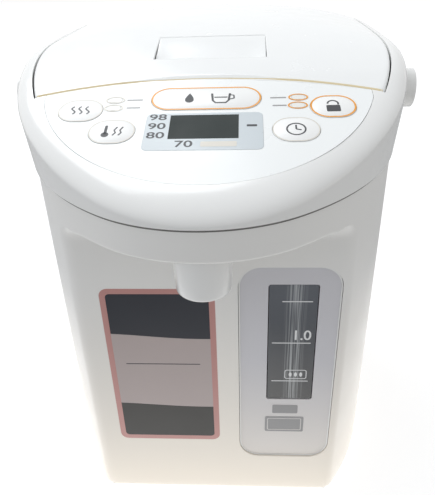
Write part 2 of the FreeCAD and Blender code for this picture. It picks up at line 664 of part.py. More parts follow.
# Water path: hose, level tube, tip-over valve, crossover and nozzle
hose("riser_hose",
     [(d.pump_out_x, out_y - 1, out_z), (d.pump_out_x, -tube_y + 34, out_z),
      (d.tube_x, -tube_y, out_z), (d.tube_x, -tube_y, d.tube_low + 8)],
     Size.of(11.0), hose_out, d.tube_r)
valve_low = d.tube_high - 6
valve_high = valve_low + d.valve_tall
node("level_tube", ring(d.tube_r, d.tube_bore, d.tube_low, d.tube_high, d.tube_x, -tube_y))
node("tip_valve_body", cut(
    fuse(cylinder(d.valve_r, valve_low, valve_high, d.tube_x, -tube_y),
         cylinder(d.tube_r, valve_high - 1, valve_high + 6, d.tube_x, -tube_y)),
    cylinder(d.tube_r, valve_low - 1, d.tube_high, d.tube_x, -tube_y),
    cylinder(d.ball_r - 1.2, valve_low, valve_high + 7, d.tube_x, -tube_y),
    cylinder(d.valve_r - 2.2, d.tube_high + 2, valve_high - 2, d.tube_x, -tube_y)))
node("tip_valve_ball", ball(d.ball_r, d.tube_x, -tube_y, d.tube_high + 2 + d.ball_r * 0.72))
hose("crossover_hose",
     [(d.tube_x, -tube_y, valve_high + 0.5), (d.tube_x, -tube_y, d.crossover),
      (0, -spout_y, d.crossover), (0, -spout_y, d.nose_floor + 0.5)],
     Size.of(7.5), hose_out, d.tube_r)
node("nozzle", cut(
    fuse(cylinder(d.tube_r, d.nozzle_low, d.nose_floor + 3, 0, -spout_y),
         cylinder(d.spout_r - d.spout_wall - 1, d.nose_floor - 4, d.nose_floor - 1.5, 0, -spout_y)),
    cylinder(d.nipple_bore, d.nozzle_low - 1, d.nose_floor + 8, 0, -spout_y)))
spout_top = d.nose_floor
node("spout_cover", cut(cylinder(d.spout_r, d.spout_low, spout_top, 0, -spout_y),
                        cylinder(d.spout_r - d.spout_wall, d.spout_low - 1, d.nose_floor - 4, 0, -spout_y),
                        cylinder(d.spout_r - d.spout_wall - 1 + d.pin_gap, d.nose_floor - 5, d.nose_floor - 1.4,
                                 0, -spout_y),
                        cylinder(hose_out + d.fit_gap, d.nose_floor - 2, d.nose_floor + 1, 0, -spout_y)))

# Gauge panel, its smoked window and the case's seat for it
face = front_flat - d.gauge_sink
lip = d.gauge_lip
gauge_front = prism(round_rect(d.gauge_left + d.slide_gap, d.gauge_right - d.slide_gap, d.gauge_low + d.slide_gap,
                               d.gauge_high - d.slide_gap, d.gauge_round - d.slide_gap),
                    front_flat - d.case_wall - 0.5, face, "XZ_Plane")
gauge_back = prism(round_rect(d.gauge_left - lip, d.gauge_right + lip, d.gauge_low - lip, d.gauge_high + lip,
                              d.gauge_round + lip),
                   front_flat - d.case_wall - 2, front_flat - d.case_wall, "XZ_Plane")
window = (d.tube_x - d.window_half, d.tube_x + d.window_half, d.window_low, d.window_high)
window_cut = prism(rect(*window), front_flat - 8, front_flat + 2, "XZ_Plane")
node("gauge_panel", cut(fuse(gauge_front, gauge_back), window_cut))
pane = d.pin_gap
node("gauge_window", prism(rect(window[0] + pane, window[1] - pane, window[2] + pane, window[3] - pane),
                           front_flat - d.case_wall - 2, face - 0.4, "XZ_Plane"))

# Head shell: outer skin with the lid opening, panel seat and hinge seats
opening_inset = d.lid_inset - d.lid_gap
far_rear = d.rear_reach + d.rear_corner
skin = head_form(0, 0)
hollow = head_form(d.case_wall, d.case_wall)
hollow_low = prism(head_plan(d.body_inset * 0.7 + d.case_wall), d.seam_level - 2, d.seam_level + 2)
opening = prism(lid_plan(opening_inset, d.lid_gap, far_rear), d.lid_skirt_level - d.lid_gap, HEIGHTS_ABOVE + 2)


def sheet_outline(grow):
    """The control film: two arcs that meet in blunt side corners."""
    grow = Size.of(grow)
    half = d.sheet_half + grow
    blunt = 6.0
    low = -d.sheet_corner - blunt - grow
    high = -d.sheet_corner + grow
    return [(half, low), (half, high, d.sheet_rear_radius, 1), (-half, high),
            (-half, low, d.sheet_front_radius, 1)]


seat = untilted(prism(sheet_outline(d.key_gap), -d.sheet_thick - d.pin_gap, 5))
key_spots = {
    "unlock_key": (63.2, -31.0, 22.5), "timer_key": (44.0, -49.2, 22.5),
    "keep_warm_key": (-44.4, -49.0, 22.5), "boil_key": (-63.2, -31.2, 22.5),
}
holes = [untilted(prism(oval(x, y, long + 2 * d.key_lip + 1, d.oval_tall + 2 * d.key_lip + 1), -6, 0))
         for x, y, long in key_spots.values()]
holes.append(untilted(prism(oval(0, -d.dispense_at, d.dispense_half * 2 + 2 * d.key_lip + 1,
                                 d.dispense_tall + 2 * d.key_lip + 1), -6, 0)))
holes.append(untilted(prism(rect(-d.glass_half - 1, d.glass_half + 1, -d.glass_at - d.glass_tall / 2 - 1,
                                 -d.glass_at + d.glass_tall / 2 + 1), -6, 0)))
lens_spots = [(46.6, -22.5), (46.0, -29.5), (-46.6, -22.5), (-46.6, -29.5)]
holes += [untilted(cylinder_at) for cylinder_at in
          (prism(oval(x, y, 2 * d.lens_r + 4, 2 * d.lens_r + 0.6), -6, 0) for x, y in lens_spots)]
post_spots = [(36.5, -23), (-36.5, -23), (30, -72), (-30, -72)]
posts = [untilted(group(cylinder(d.post_r, -d.board_top, -d.case_wall + 0.6, x, y))) for x, y in post_spots]
pin_holes = cylinder_x(d.pin_r, -half_width - 20, half_width + 20, 0, d.handle_level)
knuckle_end = d.knuckle_x + d.knuckle_long
ear_spots = (d.knuckle_x - d.ear_gap - d.ear_thick, knuckle_end + d.ear_gap)
wall_inside = d.rear_reach - d.case_wall
ears = [cylinder_x(d.knuckle_r, x, x + d.ear_thick, hinge_y, d.hinge_level) for x in ear_spots]
ears += [box(x, x + d.ear_thick, wall_inside + 0.5, hinge_y, d.ear_low, d.hinge_level) for x in ear_spots]
ears += [mirrored(ear) for ear in ears]
hinge_bore = cylinder_x(d.hinge_pin_r, -knuckle_end - 8, knuckle_end + 8, hinge_y, d.hinge_level)
shell = cut(fuse(cut(fuse(cut(skin, hollow, hollow_low), *posts), opening), *ears), seat, pin_holes, hinge_bore,
            *holes)
node("head_shell", shell)

# Control film, keys, lenses, display and board, drawn on the panel's own plane
film_holes = [prism(oval(x, y, Size.of(long) + 2 * d.key_gap, d.oval_tall + 2 * d.key_gap), -5, 5)
              for x, y, long in key_spots.values()]
film_holes.append(prism(oval(0, -d.dispense_at, d.dispense_half * 2 + 2 * d.key_gap,
                             d.dispense_tall + 2 * d.key_gap), -5, 5))
film_holes.append(prism(round_rect(-d.lcd_half, d.lcd_half, -d.lcd_at - d.lcd_tall / 2,
                                   -d.lcd_at + d.lcd_tall / 2, 3), -5, 5))
film_holes += [prism(oval(x, y, 2 * d.lens_r + 3, 2 * d.lens_r), -5, 5) for x, y in lens_spots]
on_panel("control_film", cut(prism(sheet_outline(0), -d.sheet_thick, 0), *film_holes))


def key(x, y, long, tall, stems):
    lip_low = -d.key_depth
    return fuse(prism(oval(x, y, long, tall), lip_low, d.key_rise),
                prism(oval(x, y, Size.of(long) + 2 * d.key_lip, Size.of(tall) + 2 * d.key_lip), lip_low,
                      -d.sheet_thick - d.fit_gap),
                *[cylinder(d.stem_r, -d.stem_low, lip_low + 0.5, Size.of(x) + run, y) for run in stems])


for word, (x, y, long) in key_spots.items():
    on_panel(word, key(x, y, long, d.oval_tall, [0]))
on_panel("dispense_key", key(0, -d.dispense_at, d.dispense_half * 2, d.dispense_tall, [-16, 16]))
lcd_low = -d.lcd_at - d.lcd_tall / 2
on_panel("lcd_bezel", cut(prism(round_rect(-d.lcd_half + 0.1, d.lcd_half - 0.1, lcd_low + 0.1,
                                           -d.lcd_at + d.lcd_tall / 2 - 0.1, 2.9), -d.sheet_thick, 0.1),
                          prism(rect(-d.glass_half, d.glass_half, -d.glass_at - d.glass_tall / 2,
                                     -d.glass_at + d.glass_tall / 2), -5, 5)))
on_panel("lcd_glass", prism(rect(-d.glass_half + 0.1, d.glass_half - 0.1, -d.glass_at - d.glass_tall / 2 + 0.1,
                                 -d.glass_at + d.glass_tall / 2 - 0.1), -3, 0))
lcd_module = box(-d.glass_half - 2, d.glass_half + 2, -d.glass_at - d.glass_tall / 2 - 2,
                 -d.glass_at + d.glass_tall / 2 + 2, -d.board_top, -3)
on_panel("indicator_lenses", group(*[prism(oval(x, y, 2 * d.lens_r + 2.8, 2 * d.lens_r - 0.2), -d.board_top, 0.1)
                                     for x, y in lens_spots]))
on_panel("control_board", prism(
    [(-60, -66), (-40, -76), (40, -76), (60, -66), (78, -44), (78, -32),
     (40, -17), (-40, -17), (-78, -32), (-78, -44)],
    -d.board_top - d.board_thick, -d.board_top))
half_switch = d.switch_size / 2
switch_spots = [(x, y) for x, y, long in key_spots.values()] + [(-16, -d.dispense_at), (16, -d.dispense_at)]
on_panel("switches_and_display", group(lcd_module, *[
    fuse(box(x - half_switch, x + half_switch, y - half_switch, y + half_switch, -d.board_top, -d.stem_low - 1),
         cylinder(1.6, -d.stem_low - 1.5, -d.stem_low - d.switch_gap, x, y)) for x, y in switch_spots]))

# Funnel round the vessel's mouth
funnel = new_body()
wall_out = d.lid_inset - d.lid_gap - d.funnel_wall
pad(funnel, lid_plan(wall_out, d.lid_gap + d.funnel_wall, funnel_rear), d.funnel_floor,
    d.lid_skirt_level - 4)
pocket(funnel, lid_plan(d.lid_inset - d.lid_gap, d.lid_gap, funnel_rear - d.funnel_wall), d.funnel_floor + 2.5,
       d.lid_skirt_level)
latch_low = 247.0
node("mouth_funnel", cut(funnel, cylinder(d.neck_r + 2, d.funnel_floor - 1, d.funnel_floor + 4, 0, d.vessel_y),
                         box(-13, 13, -66, -40, latch_low - 0.4, d.lid_skirt_level)))

# Lid: outer cover with the lever opening, base, inner lid and seals
cover_form = head_form(0, 0)
cover_plan = prism(lid_plan(d.lid_inset, 0, far_rear), d.lid_skirt_level, HEIGHTS_ABOVE + 2)
cover_hollow = head_form(d.case_wall, d.case_wall)
hollow_plan = prism(lid_plan(d.lid_inset + d.case_wall, -d.case_wall, far_rear), d.lid_skirt_level - 1,
                    HEIGHTS_ABOVE + 2)
lever_hole = box(-d.lever_half - d.lever_gap, d.lever_half + d.lever_gap,
                 d.lever_rear_y - d.lever_long * cosine(d.lever_slope) - 1.2,
                 d.lever_rear_y + d.lever_thick * sine(d.lever_slope) + d.lever_gap,
                 d.tray_floor + 2, HEIGHTS_ABOVE)
lid_screw_spots = [(x, y) for x in (-84, 84) for y in (-30, 84)]
cover_bosses = common(head_form(1, 1), group(*[cylinder(3.5, d.lid_skirt_level, HEIGHTS_ABOVE, x, y)
                                               for x, y in lid_screw_spots]))
pilots = [cylinder(1.4, d.lid_skirt_level - 1, d.lid_skirt_level + 5, x, y) for x, y in lid_screw_spots]
knuckle = cylinder_x(d.knuckle_r, d.knuckle_x, knuckle_end, hinge_y, d.hinge_level)
ear_rooms = [box(x - d.ear_gap, x + d.ear_thick + d.ear_gap, wall_inside - 0.5, hinge_y + 4,
                 d.lid_skirt_level - 1, d.hinge_level + d.knuckle_r + 1.8) for x in ear_spots]
ear_rooms += [mirrored(room) for room in ear_rooms]
knuckle_bore = cylinder_x(d.hinge_pin_r + d.pin_gap, -knuckle_end - 8, knuckle_end + 8, hinge_y, d.hinge_level)
node("lid_cover", cut(fuse(cut(common(cover_form, cover_plan), common(cover_hollow, hollow_plan)), cover_bosses,
                           knuckle, mirrored(knuckle)),
                      lever_hole, knuckle_bore, *ear_rooms, *pilots))
base_low = d.lid_skirt_level - d.lid_base_thick
boss_low = d.funnel_floor + 8
plug_r = d.neck_r + 5
lid_plate = prism(lid_plan(d.lid_inset + 0.4, -0.4, lid_base_rear), base_low, d.lid_skirt_level)
node("lid_base", cut(fuse(lid_plate, ring(plug_r, plug_r - 6, boss_low, base_low + 1, 0, d.vessel_y)),
                     box(-12.5, 12.5, -60, -39, latch_low - 0.4, base_low),
                     *[cylinder(1.45, base_low - 1, d.lid_skirt_level + 1, x, y) for x, y in lid_screw_spots]))
node("inner_lid", fuse(cylinder(plug_r, boss_low - 1.2, boss_low, 0, d.vessel_y),
                       ring(plug_r - 7, plug_r - 8, boss_low - 8, boss_low - 1, 0, d.vessel_y),
                       cylinder(plug_r - 7, boss_low - 8, boss_low - 7, 0, d.vessel_y)))
node("lid_seal", ring(plug_r, plug_r - 6.8, d.funnel_floor + 2.8, boss_low - 1.2, 0, d.vessel_y))
node("steam_labyrinth", cut(cylinder(26, boss_low, base_low, 0, d.vessel_y + 16),
                            cylinder(24, boss_low + 1.5, base_low - 1.5, 0, d.vessel_y + 16),
                            cylinder(4, boss_low - 1, boss_low + 3, 0, d.vessel_y + 16)))
node("lid_screws", group(*[
    fuse(cylinder(3.2, base_low - 1.6, base_low, x, y), cylinder(1.4, base_low - 1, d.lid_skirt_level + 4.5, x, y))
    for x, y in lid_screw_spots]))
tray_front = d.lever_rear_y - d.lever_long * cosine(d.lever_slope) - 1.2
lever_pin_y = d.lever_rear_y - 1.5
lever_pin_z = d.lever_level - 5.0
stub_r = Size.of(1.6)
node("lever_tray", cut(common(head_form(d.case_wall, d.case_wall),
                              box(-d.lever_half - 3, d.lever_half + 3, tray_front - 2.4, d.lever_rear_y + 6,
                                  d.lid_skirt_level, HEIGHTS_ABOVE)),
                       box(-d.lever_half - d.lever_gap, d.lever_half + d.lever_gap, tray_front,
                           d.lever_rear_y + 4, d.tray_floor, HEIGHTS_ABOVE),
                       cylinder_x(stub_r + d.pin_gap, -d.lever_half - 5, d.lever_half + 5, lever_pin_y, lever_pin_z)))

# Lever: a plate with stub pins at its rear edge, its front end low in the scoop
lever = prism(rect(-d.lever_half, d.lever_half, -d.lever_long, 0), -d.lever_thick, 0)
lever.Placement = FreeCAD.Placement(Vector(), FreeCAD.Rotation(Vector(1, 0, 0), 1))
bind(lever, ".Placement.Rotation.Angle", d.lever_slope)
at(lever, 0, d.lever_rear_y, d.lever_level)
lever_cheek = box(d.lever_half - 4, d.lever_half, lever_pin_y - 2.4, lever_pin_y + 1.5, lever_pin_z - 2,
                  d.lever_level - 1.5)
node("lid_lever", fuse(lever, lever_cheek, mirrored(lever_cheek),
                       cylinder_x(stub_r, -d.lever_half - 2.6, d.lever_half + 2.6, lever_pin_y, lever_pin_z)))

# Latch behind the lid's front edge
latch_tip = d.lid_front_y + 0.2
latch_back = latch_tip - 8.5
node("latch", fuse(box(-12, 12, -latch_tip, -latch_back, latch_low, latch_low + 3),
                   box(-6, 6, -latch_back - 3, -latch_back, latch_low + 2, base_low - 0.3)))

# Lid hinge
pin_half = ear_spots[1] + d.ear_thick
node("hinge_pin", cylinder_x(d.hinge_pin_r, -pin_half, pin_half, hinge_y, d.hinge_level))

# Carry handle, drawn lying back and then let down to its rest
grip_x = arm_inner_x + d.arm_thick
hub = cylinder_x(d.hub_r, hub_inner_x, hub_outer_x, 0, 0)
arm = box(arm_inner_x, grip_x, 0, handle_arm, -d.arm_deep / 2, d.arm_deep / 2)
grip = cylinder_x(d.grip_r, -grip_x, grip_x, handle_arm, 0)
pin_room = cylinder_x(d.pin_r + d.pin_gap, -hub_outer_x + d.pin_cover, hub_outer_x - d.pin_cover, 0, 0)
bail = cut(fuse(grip, hub, arm, mirrored(hub), mirrored(arm)), pin_room)
bail.Placement = FreeCAD.Placement(Vector(), FreeCAD.Rotation(Vector(1, 0, 0), -1))
bind(bail, ".Placement.Rotation.Angle", -d.handle_rest)
node("carry_handle", bail, axis_y, d.handle_level)
pin_inner = half_width - d.pin_head_deep
pin_outer = hub_outer_x - d.pin_cover - d.fit_gap
pin = fuse(cylinder_x(d.pin_r, pin_inner, pin_outer, 0, d.handle_level),
           cylinder_x(d.pin_head_r, pin_inner, half_width - d.case_wall - 1.6, 0, d.handle_level))
node("handle_pins", group(pin, mirrored(pin)))

# Power inlet and power board
inlet_rear = rear_wall - 1
inlet_high = d.inlet_low + d.inlet_tall
inlet_mid = d.inlet_low + d.inlet_tall / 2
node("inlet_socket", group(cut(
    fuse(box(-d.inlet_half + 0.2, d.inlet_half - 0.2, rear_wall - d.inlet_deep, inlet_rear,
             d.inlet_low + 0.2, inlet_high - 0.2),
         box(-d.inlet_half - 3, d.inlet_half + 3, rear_wall - d.case_wall - 2, rear_wall - d.case_wall,
             d.inlet_low - 3, inlet_high + 3)),
    box(-d.inlet_half + 3, d.inlet_half - 3, rear_wall - d.inlet_deep + 3, inlet_rear + 1,
        d.inlet_low + 3.2, inlet_high - 3.2),
    *[cylinder_y(2, rear_wall - d.inlet_deep - 1, rear_wall, x, inlet_mid) for x in (-8, 8)]),
    *[cylinder_y(2, rear_wall - d.inlet_deep - 4, rear_wall - 4, x, inlet_mid) for x in (-8, 8)]))
board_top = d.board_level + d.board_thick
node("power_board", group(
    box(d.board_left, board_right, board_front, board_rear, d.board_level, board_top),
    box(d.board_left + 4, d.board_left + 20, board_front + 6, board_front + 22, board_top, board_top + 16),
    cylinder(6, board_top, board_top + 22, board_right - 20, board_front + 12),
    cylinder(5, board_top, board_top + 14, board_right - 8, board_front + 12),
    box(board_right - 26, board_right - 8, board_rear - 16, board_rear - 10, board_top, board_top + 20),
    box(d.board_left + 6, d.board_left + 18, board_rear - 10, board_rear - 4, board_top, board_top + 9)))
hose("wire_loom",
     [(86, 52, board_top + 2), (96, 26, 62), (96, 26, 196), (92, -30, 226), (70, -66, 232), (70, -66, 248)],
     Size.of(8.0), Size.of(2.5), None)

# Build, test and write every sub-part
doc.recompute()
faults = [f"{item.Name} {item.Label} {item.State}" for item in doc.Objects
          if "Invalid" in item.State or "Error" in item.State]
for label, item in nodes.items():
    if item.Shape.isNull() or not item.Shape.isValid():
        faults.append(f"{label} has no valid shape")
if faults:
    raise RuntimeError("; ".join(faults))
os.makedirs("parts", exist_ok=True)
for label, item in nodes.items():
    item.Shape.exportStep(f"parts/{label}.step")
    bounds = item.Shape.BoundBox
    print(f"{label}: {len(item.Shape.Solids)} solids, {item.Shape.Volume:.0f} mm3, "
          f"x {bounds.XMin:.1f} {bounds.XMax:.1f} y {bounds.YMin:.1f} {bounds.YMax:.1f} "
          f"z {bounds.ZMin:.1f} {bounds.ZMax:.1f}")
print(len(nodes), "sub-parts, water axis at y", round(axis_y.value, 3))
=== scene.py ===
import json
import math

import bmesh
import bpy
import numpy as np
from mathutils import Matrix, Vector, geometry


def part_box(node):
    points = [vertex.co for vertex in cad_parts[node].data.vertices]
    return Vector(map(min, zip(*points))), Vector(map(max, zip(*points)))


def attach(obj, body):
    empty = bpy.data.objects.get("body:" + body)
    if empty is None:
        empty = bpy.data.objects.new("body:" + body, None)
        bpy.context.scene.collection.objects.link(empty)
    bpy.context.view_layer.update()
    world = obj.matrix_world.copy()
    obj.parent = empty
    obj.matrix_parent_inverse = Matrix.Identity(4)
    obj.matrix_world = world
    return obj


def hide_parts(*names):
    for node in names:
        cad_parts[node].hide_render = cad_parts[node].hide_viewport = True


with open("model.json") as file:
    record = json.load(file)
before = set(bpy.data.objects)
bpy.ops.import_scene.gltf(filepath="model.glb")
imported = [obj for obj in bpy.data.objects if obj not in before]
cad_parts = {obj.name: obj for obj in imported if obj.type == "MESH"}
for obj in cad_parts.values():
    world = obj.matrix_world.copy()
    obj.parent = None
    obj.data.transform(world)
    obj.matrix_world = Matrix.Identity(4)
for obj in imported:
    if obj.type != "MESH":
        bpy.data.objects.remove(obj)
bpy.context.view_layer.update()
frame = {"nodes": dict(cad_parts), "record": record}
nodes = frame["nodes"]
mm = 0.001

# Places in millimetres from the water axis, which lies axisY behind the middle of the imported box
low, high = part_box("swivel_rivet")
axisY = (low[1] + high[1]) / 2 / mm - 10.0
head = {
    "halfWidth": 110.7, "noseReach": 150.9, "noseRadius": 80.0, "sideArcY": 10.0, "rearCorner": 52.0,
    "rear": 128.0, "seam": 227.5, "seamGap": 0.5, "rim": 257.8, "flare": 2.73, "tilt": math.radians(19.5),
    "panelY": -48.3, "panelZ": 270.7, "crestY": 100.8, "crestZ": 292.0, "crown": 480.0, "wall": 2.5,
    "softFront": (15.0, 6.0), "softSide": (8.0, 7.5), "rearTop": 257.4, "filmSeat": -1.6,
}
body = {"inset": 3.9, "front": 103.5, "low": 4.0, "noseFloor": 210.6, "blend": 12.0, "cornerSoft": 5.0,
        "footSoft": 6.0, "collarSoft": 2.2}
lid = {"inset": 9.6, "gap": 0.6, "frontY": 51.0, "frontRadius": 290.0, "skirt": 258.0, "soft": 1.2, "wall": 2.2,
       "bayFloor": 252.0}
lever = {"half": 32.0, "rearY": 4.0, "frontY": -28.6, "gap": 0.12, "fall": 3.2, "thick": 2.4}
gauge = {"x0": 15.85, "x1": 71.75, "z0": 38.75, "z1": 183.25, "round": 12.5, "sink": 1.2,
         "windowX": (32.5, 59.3), "windowZ": (88.6, 171.4)}
spout = {"y": -130.0, "r": 14.0, "low": 188.5, "nozzleLow": 191.0}
label = {"x0": -61.0, "x1": 3.0, "z0": 53.5, "z1": 169.7, "round": 5.0, "edge": 3.4}
around = 480


def linear(code):
    code = code.lstrip("#")
    steps = [int(code[i:i + 2], 16) / 255 for i in (0, 2, 4)]
    return tuple(c / 12.92 if c <= 0.04045 else ((c + 0.055) / 1.055) ** 2.4 for c in steps) + (1.0,)


def place(x, y, z):
    return Vector((x * mm, (y + axisY) * mm, z * mm))


tiltSin, tiltCos = math.sin(head["tilt"]), math.cos(head["tilt"])


def onPanel(u, v, h=0.0):
    return place(u, head["panelY"] + v * tiltCos - h * tiltSin, head["panelZ"] + v * tiltSin + h * tiltCos)


def smooth(edge0, edge1, value):
    t = np.clip((np.asarray(value, dtype=float) - edge0) / (edge1 - edge0), 0.0, 1.0)
    return t * t * (3 - 2 * t)


# Plan outlines as polar radii about the water axis
tipY = head["noseRadius"] - head["noseReach"]


def tangentRadius():
    # The side arc touches the nose arc in front and runs straight into the flank behind
    ahead = -head["sideArcY"] - tipY
    wide, nose = head["halfWidth"], head["noseRadius"]
    return (wide * wide + ahead * ahead - nose * nose) / (2 * (wide - nose))


sideRadius = tangentRadius()
sideX = head["halfWidth"] - sideRadius


def planPoints(inset):
    tip, side, corner = head["noseRadius"] - inset, sideRadius - inset, head["rearCorner"] - inset
    turn = math.atan2(tipY + head["sideArcY"], -sideX)
    pts = []
    for t in np.linspace(-math.pi / 2, turn, 120):
        pts.append((tip * math.cos(t), tipY + tip * math.sin(t)))
    for t in np.linspace(turn, 0, 160)[1:]:
        pts.append((sideX + side * math.cos(t), -head["sideArcY"] + side * math.sin(t)))
    cx, cy = head["halfWidth"] - head["rearCorner"], head["rear"] - head["rearCorner"]
    for y in np.linspace(-head["sideArcY"], cy, 40)[1:]:
        pts.append((head["halfWidth"] - inset, y))
    for t in np.linspace(0, math.pi / 2, 80)[1:]:
        pts.append((cx + corner * math.cos(t), cy + corner * math.sin(t)))
    for x in np.linspace(cx, 0, 20)[1:]:
        pts.append((x, head["rear"] - inset))
    right = np.array(pts)
    left = right[::-1][1:-1] * np.array([-1, 1])
    return np.vstack([right, left])


angles = np.linspace(-math.pi / 2, 1.5 * math.pi, around, endpoint=False)
outward = np.column_stack([np.cos(angles), np.sin(angles)])


def planRadius(inset):
    pts = planPoints(inset)
    a = np.arctan2(pts[:, 1], pts[:, 0])
    a = np.where(a < -math.pi / 2, a + 2 * math.pi, a)
    order = np.argsort(a)
    return np.interp(angles, a[order], np.hypot(pts[:, 0], pts[:, 1])[order], period=2 * math.pi)


def headTop(x, y):
    x, y = np.asarray(x, dtype=float), np.asarray(y, dtype=float)
    run, rise = head["crestY"] - head["panelY"], head["crestZ"] - head["panelZ"]
    bow = (run * run + rise * rise) / (rise * 2)
    flat = head["panelZ"] + (y - head["panelY"]) * tiltSin / tiltCos
    dome = head["crestZ"] - bow + np.sqrt(np.maximum(bow * bow - (y - head["crestY"]) ** 2, 0))
    profile = np.where(y < head["panelY"], flat, np.where(y < head["crestY"], dome, head["crestZ"]))
    crown = head["crestZ"] - head["crown"] + np.sqrt(head["crown"] ** 2 - x * x)
    blend, lift, rearLift = 1.5, 0.08, 0.3
    lower = (profile + crown) / 2 - np.sqrt(((profile - crown) / 2) ** 2 + blend * blend)
    return lower + lift + rearLift * smooth(-40, 60, y)


def drop(d, r):
    d = np.minimum(d, r)
    return r - np.sqrt(np.maximum(r * r - (r - d) ** 2, 0))


def addMesh(name, bm, material=None, bodyName="pot", smoothAngle=35):
    bmesh.ops.remove_doubles(bm, verts=bm.verts, dist=1e-6)
    bmesh.ops.recalc_face_normals(bm, faces=bm.faces)
    mesh = bpy.data.meshes.new(name)
    bm.to_mesh(mesh)
    bm.free()
    mesh.shade_smooth()
    if smoothAngle:
        mesh.set_sharp_from_angle(angle=math.radians(smoothAngle))
    if material:
        mesh.materials.append(material)
    obj = bpy.data.objects.new(name, mesh)
    bpy.context.scene.collection.objects.link(obj)
    if bodyName:
        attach(obj, bodyName)
    return obj


def loft(rows, closed=True, capLow=False, capHigh=False):
    # A skin that is extruded from the first row of points through each later one
    bm = bmesh.new()
    line = [bm.verts.new(point) for point in rows[0]]
    edges = [bm.edges.new(pair) for pair in zip(line, line[1:] + line[:1] if closed else line[1:])]
    if capLow:
        bm.faces.new(line)
    for row in rows[1:]:
        grown = {item for item in bmesh.ops.extrude_edge_only(bm, edges=edges)["geom"]
                 if isinstance(item, bmesh.types.BMVert)}
        line = [next(edge.other_vert(vert) for edge in vert.link_edges if edge.other_vert(vert) in grown)
                for vert in line]
        edges = [bm.edges.get(pair) for pair in zip(line, line[1:] + line[:1] if closed else line[1:])]
        for vert, point in zip(line, row):
            vert.co = point
    if capHigh:
        bm.faces.new(line)
    return bm


def applied(obj):
    bpy.context.view_layer.update()
    mesh = bpy.data.meshes.new_from_object(obj.evaluated_get(bpy.context.evaluated_depsgraph_get()))
    old = obj.data
    obj.modifiers.clear()
    obj.data = mesh
    bpy.data.meshes.remove(old)
    return obj


def walled(obj, thick):
    wall = obj.modifiers.new("wall", "SOLIDIFY")
    wall.thickness = thick * mm
    wall.offset = -1
    return applied(obj)


def cutBy(obj, cutters):
    for cutter in cutters:
        cut = obj.modifiers.new("cut", "BOOLEAN")
        cut.operation = "DIFFERENCE"
        cut.solver = "EXACT"
        cut.object = cutter
    applied(obj)
    for cutter in cutters:
        bpy.data.objects.remove(cutter)
    obj.data.set_sharp_from_angle(angle=math.radians(35))
    return obj


def standsFor(obj, node):
    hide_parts(node)


def prism(name, outline, lift, low, high):
    # lift turns a point of the outline's plane and a height into a place
    bm = bmesh.new()
    foot = bm.faces.new([bm.verts.new(lift(a, b, low)) for a, b in outline])
    a, b = outline[0]
    rise = Vector(lift(a, b, high)) - Vector(lift(a, b, low))
    grown = bmesh.ops.extrude_face_region(bm, geom=[foot])["geom"]
    bmesh.ops.translate(bm, vec=rise, verts=[item for item in grown if isinstance(item, bmesh.types.BMVert)])
    return addMesh(name, bm, None, None, 0)


def roundRect(x0, x1, y0, y1, r, steps=10):
    pts = []
    for cx, cy, a in ((x1 - r, y0 + r, -90), (x1 - r, y1 - r, 0), (x0 + r, y1 - r, 90), (x0 + r, y0 + r, 180)):
        for k in range(steps + 1):
            t = math.radians(a + 90 * k / steps)
            pts.append((cx + r * math.cos(t), cy + r * math.sin(t)))
    return pts


def ellipse(cx, cy, a, b, steps=48):
    turns = [2 * math.pi * k / steps for k in range(steps)]
    return [(cx + a * math.cos(t), cy + b * math.sin(t)) for t in turns]


print("stage: materials")
print("stage: materials")


def nodeAdder(material):
    tree = material.node_tree

    def add(kind, **settings):
        item = tree.nodes.new(kind)
        for key, value in settings.items():
            if key.startswith("in_"):
                slotName = key[3:].replace("_", " ")
                item.inputs[int(slotName) if slotName.isdigit() else slotName].default_value = value
            else:
                setattr(item, key, value)
        return item

    return add, tree.links.new


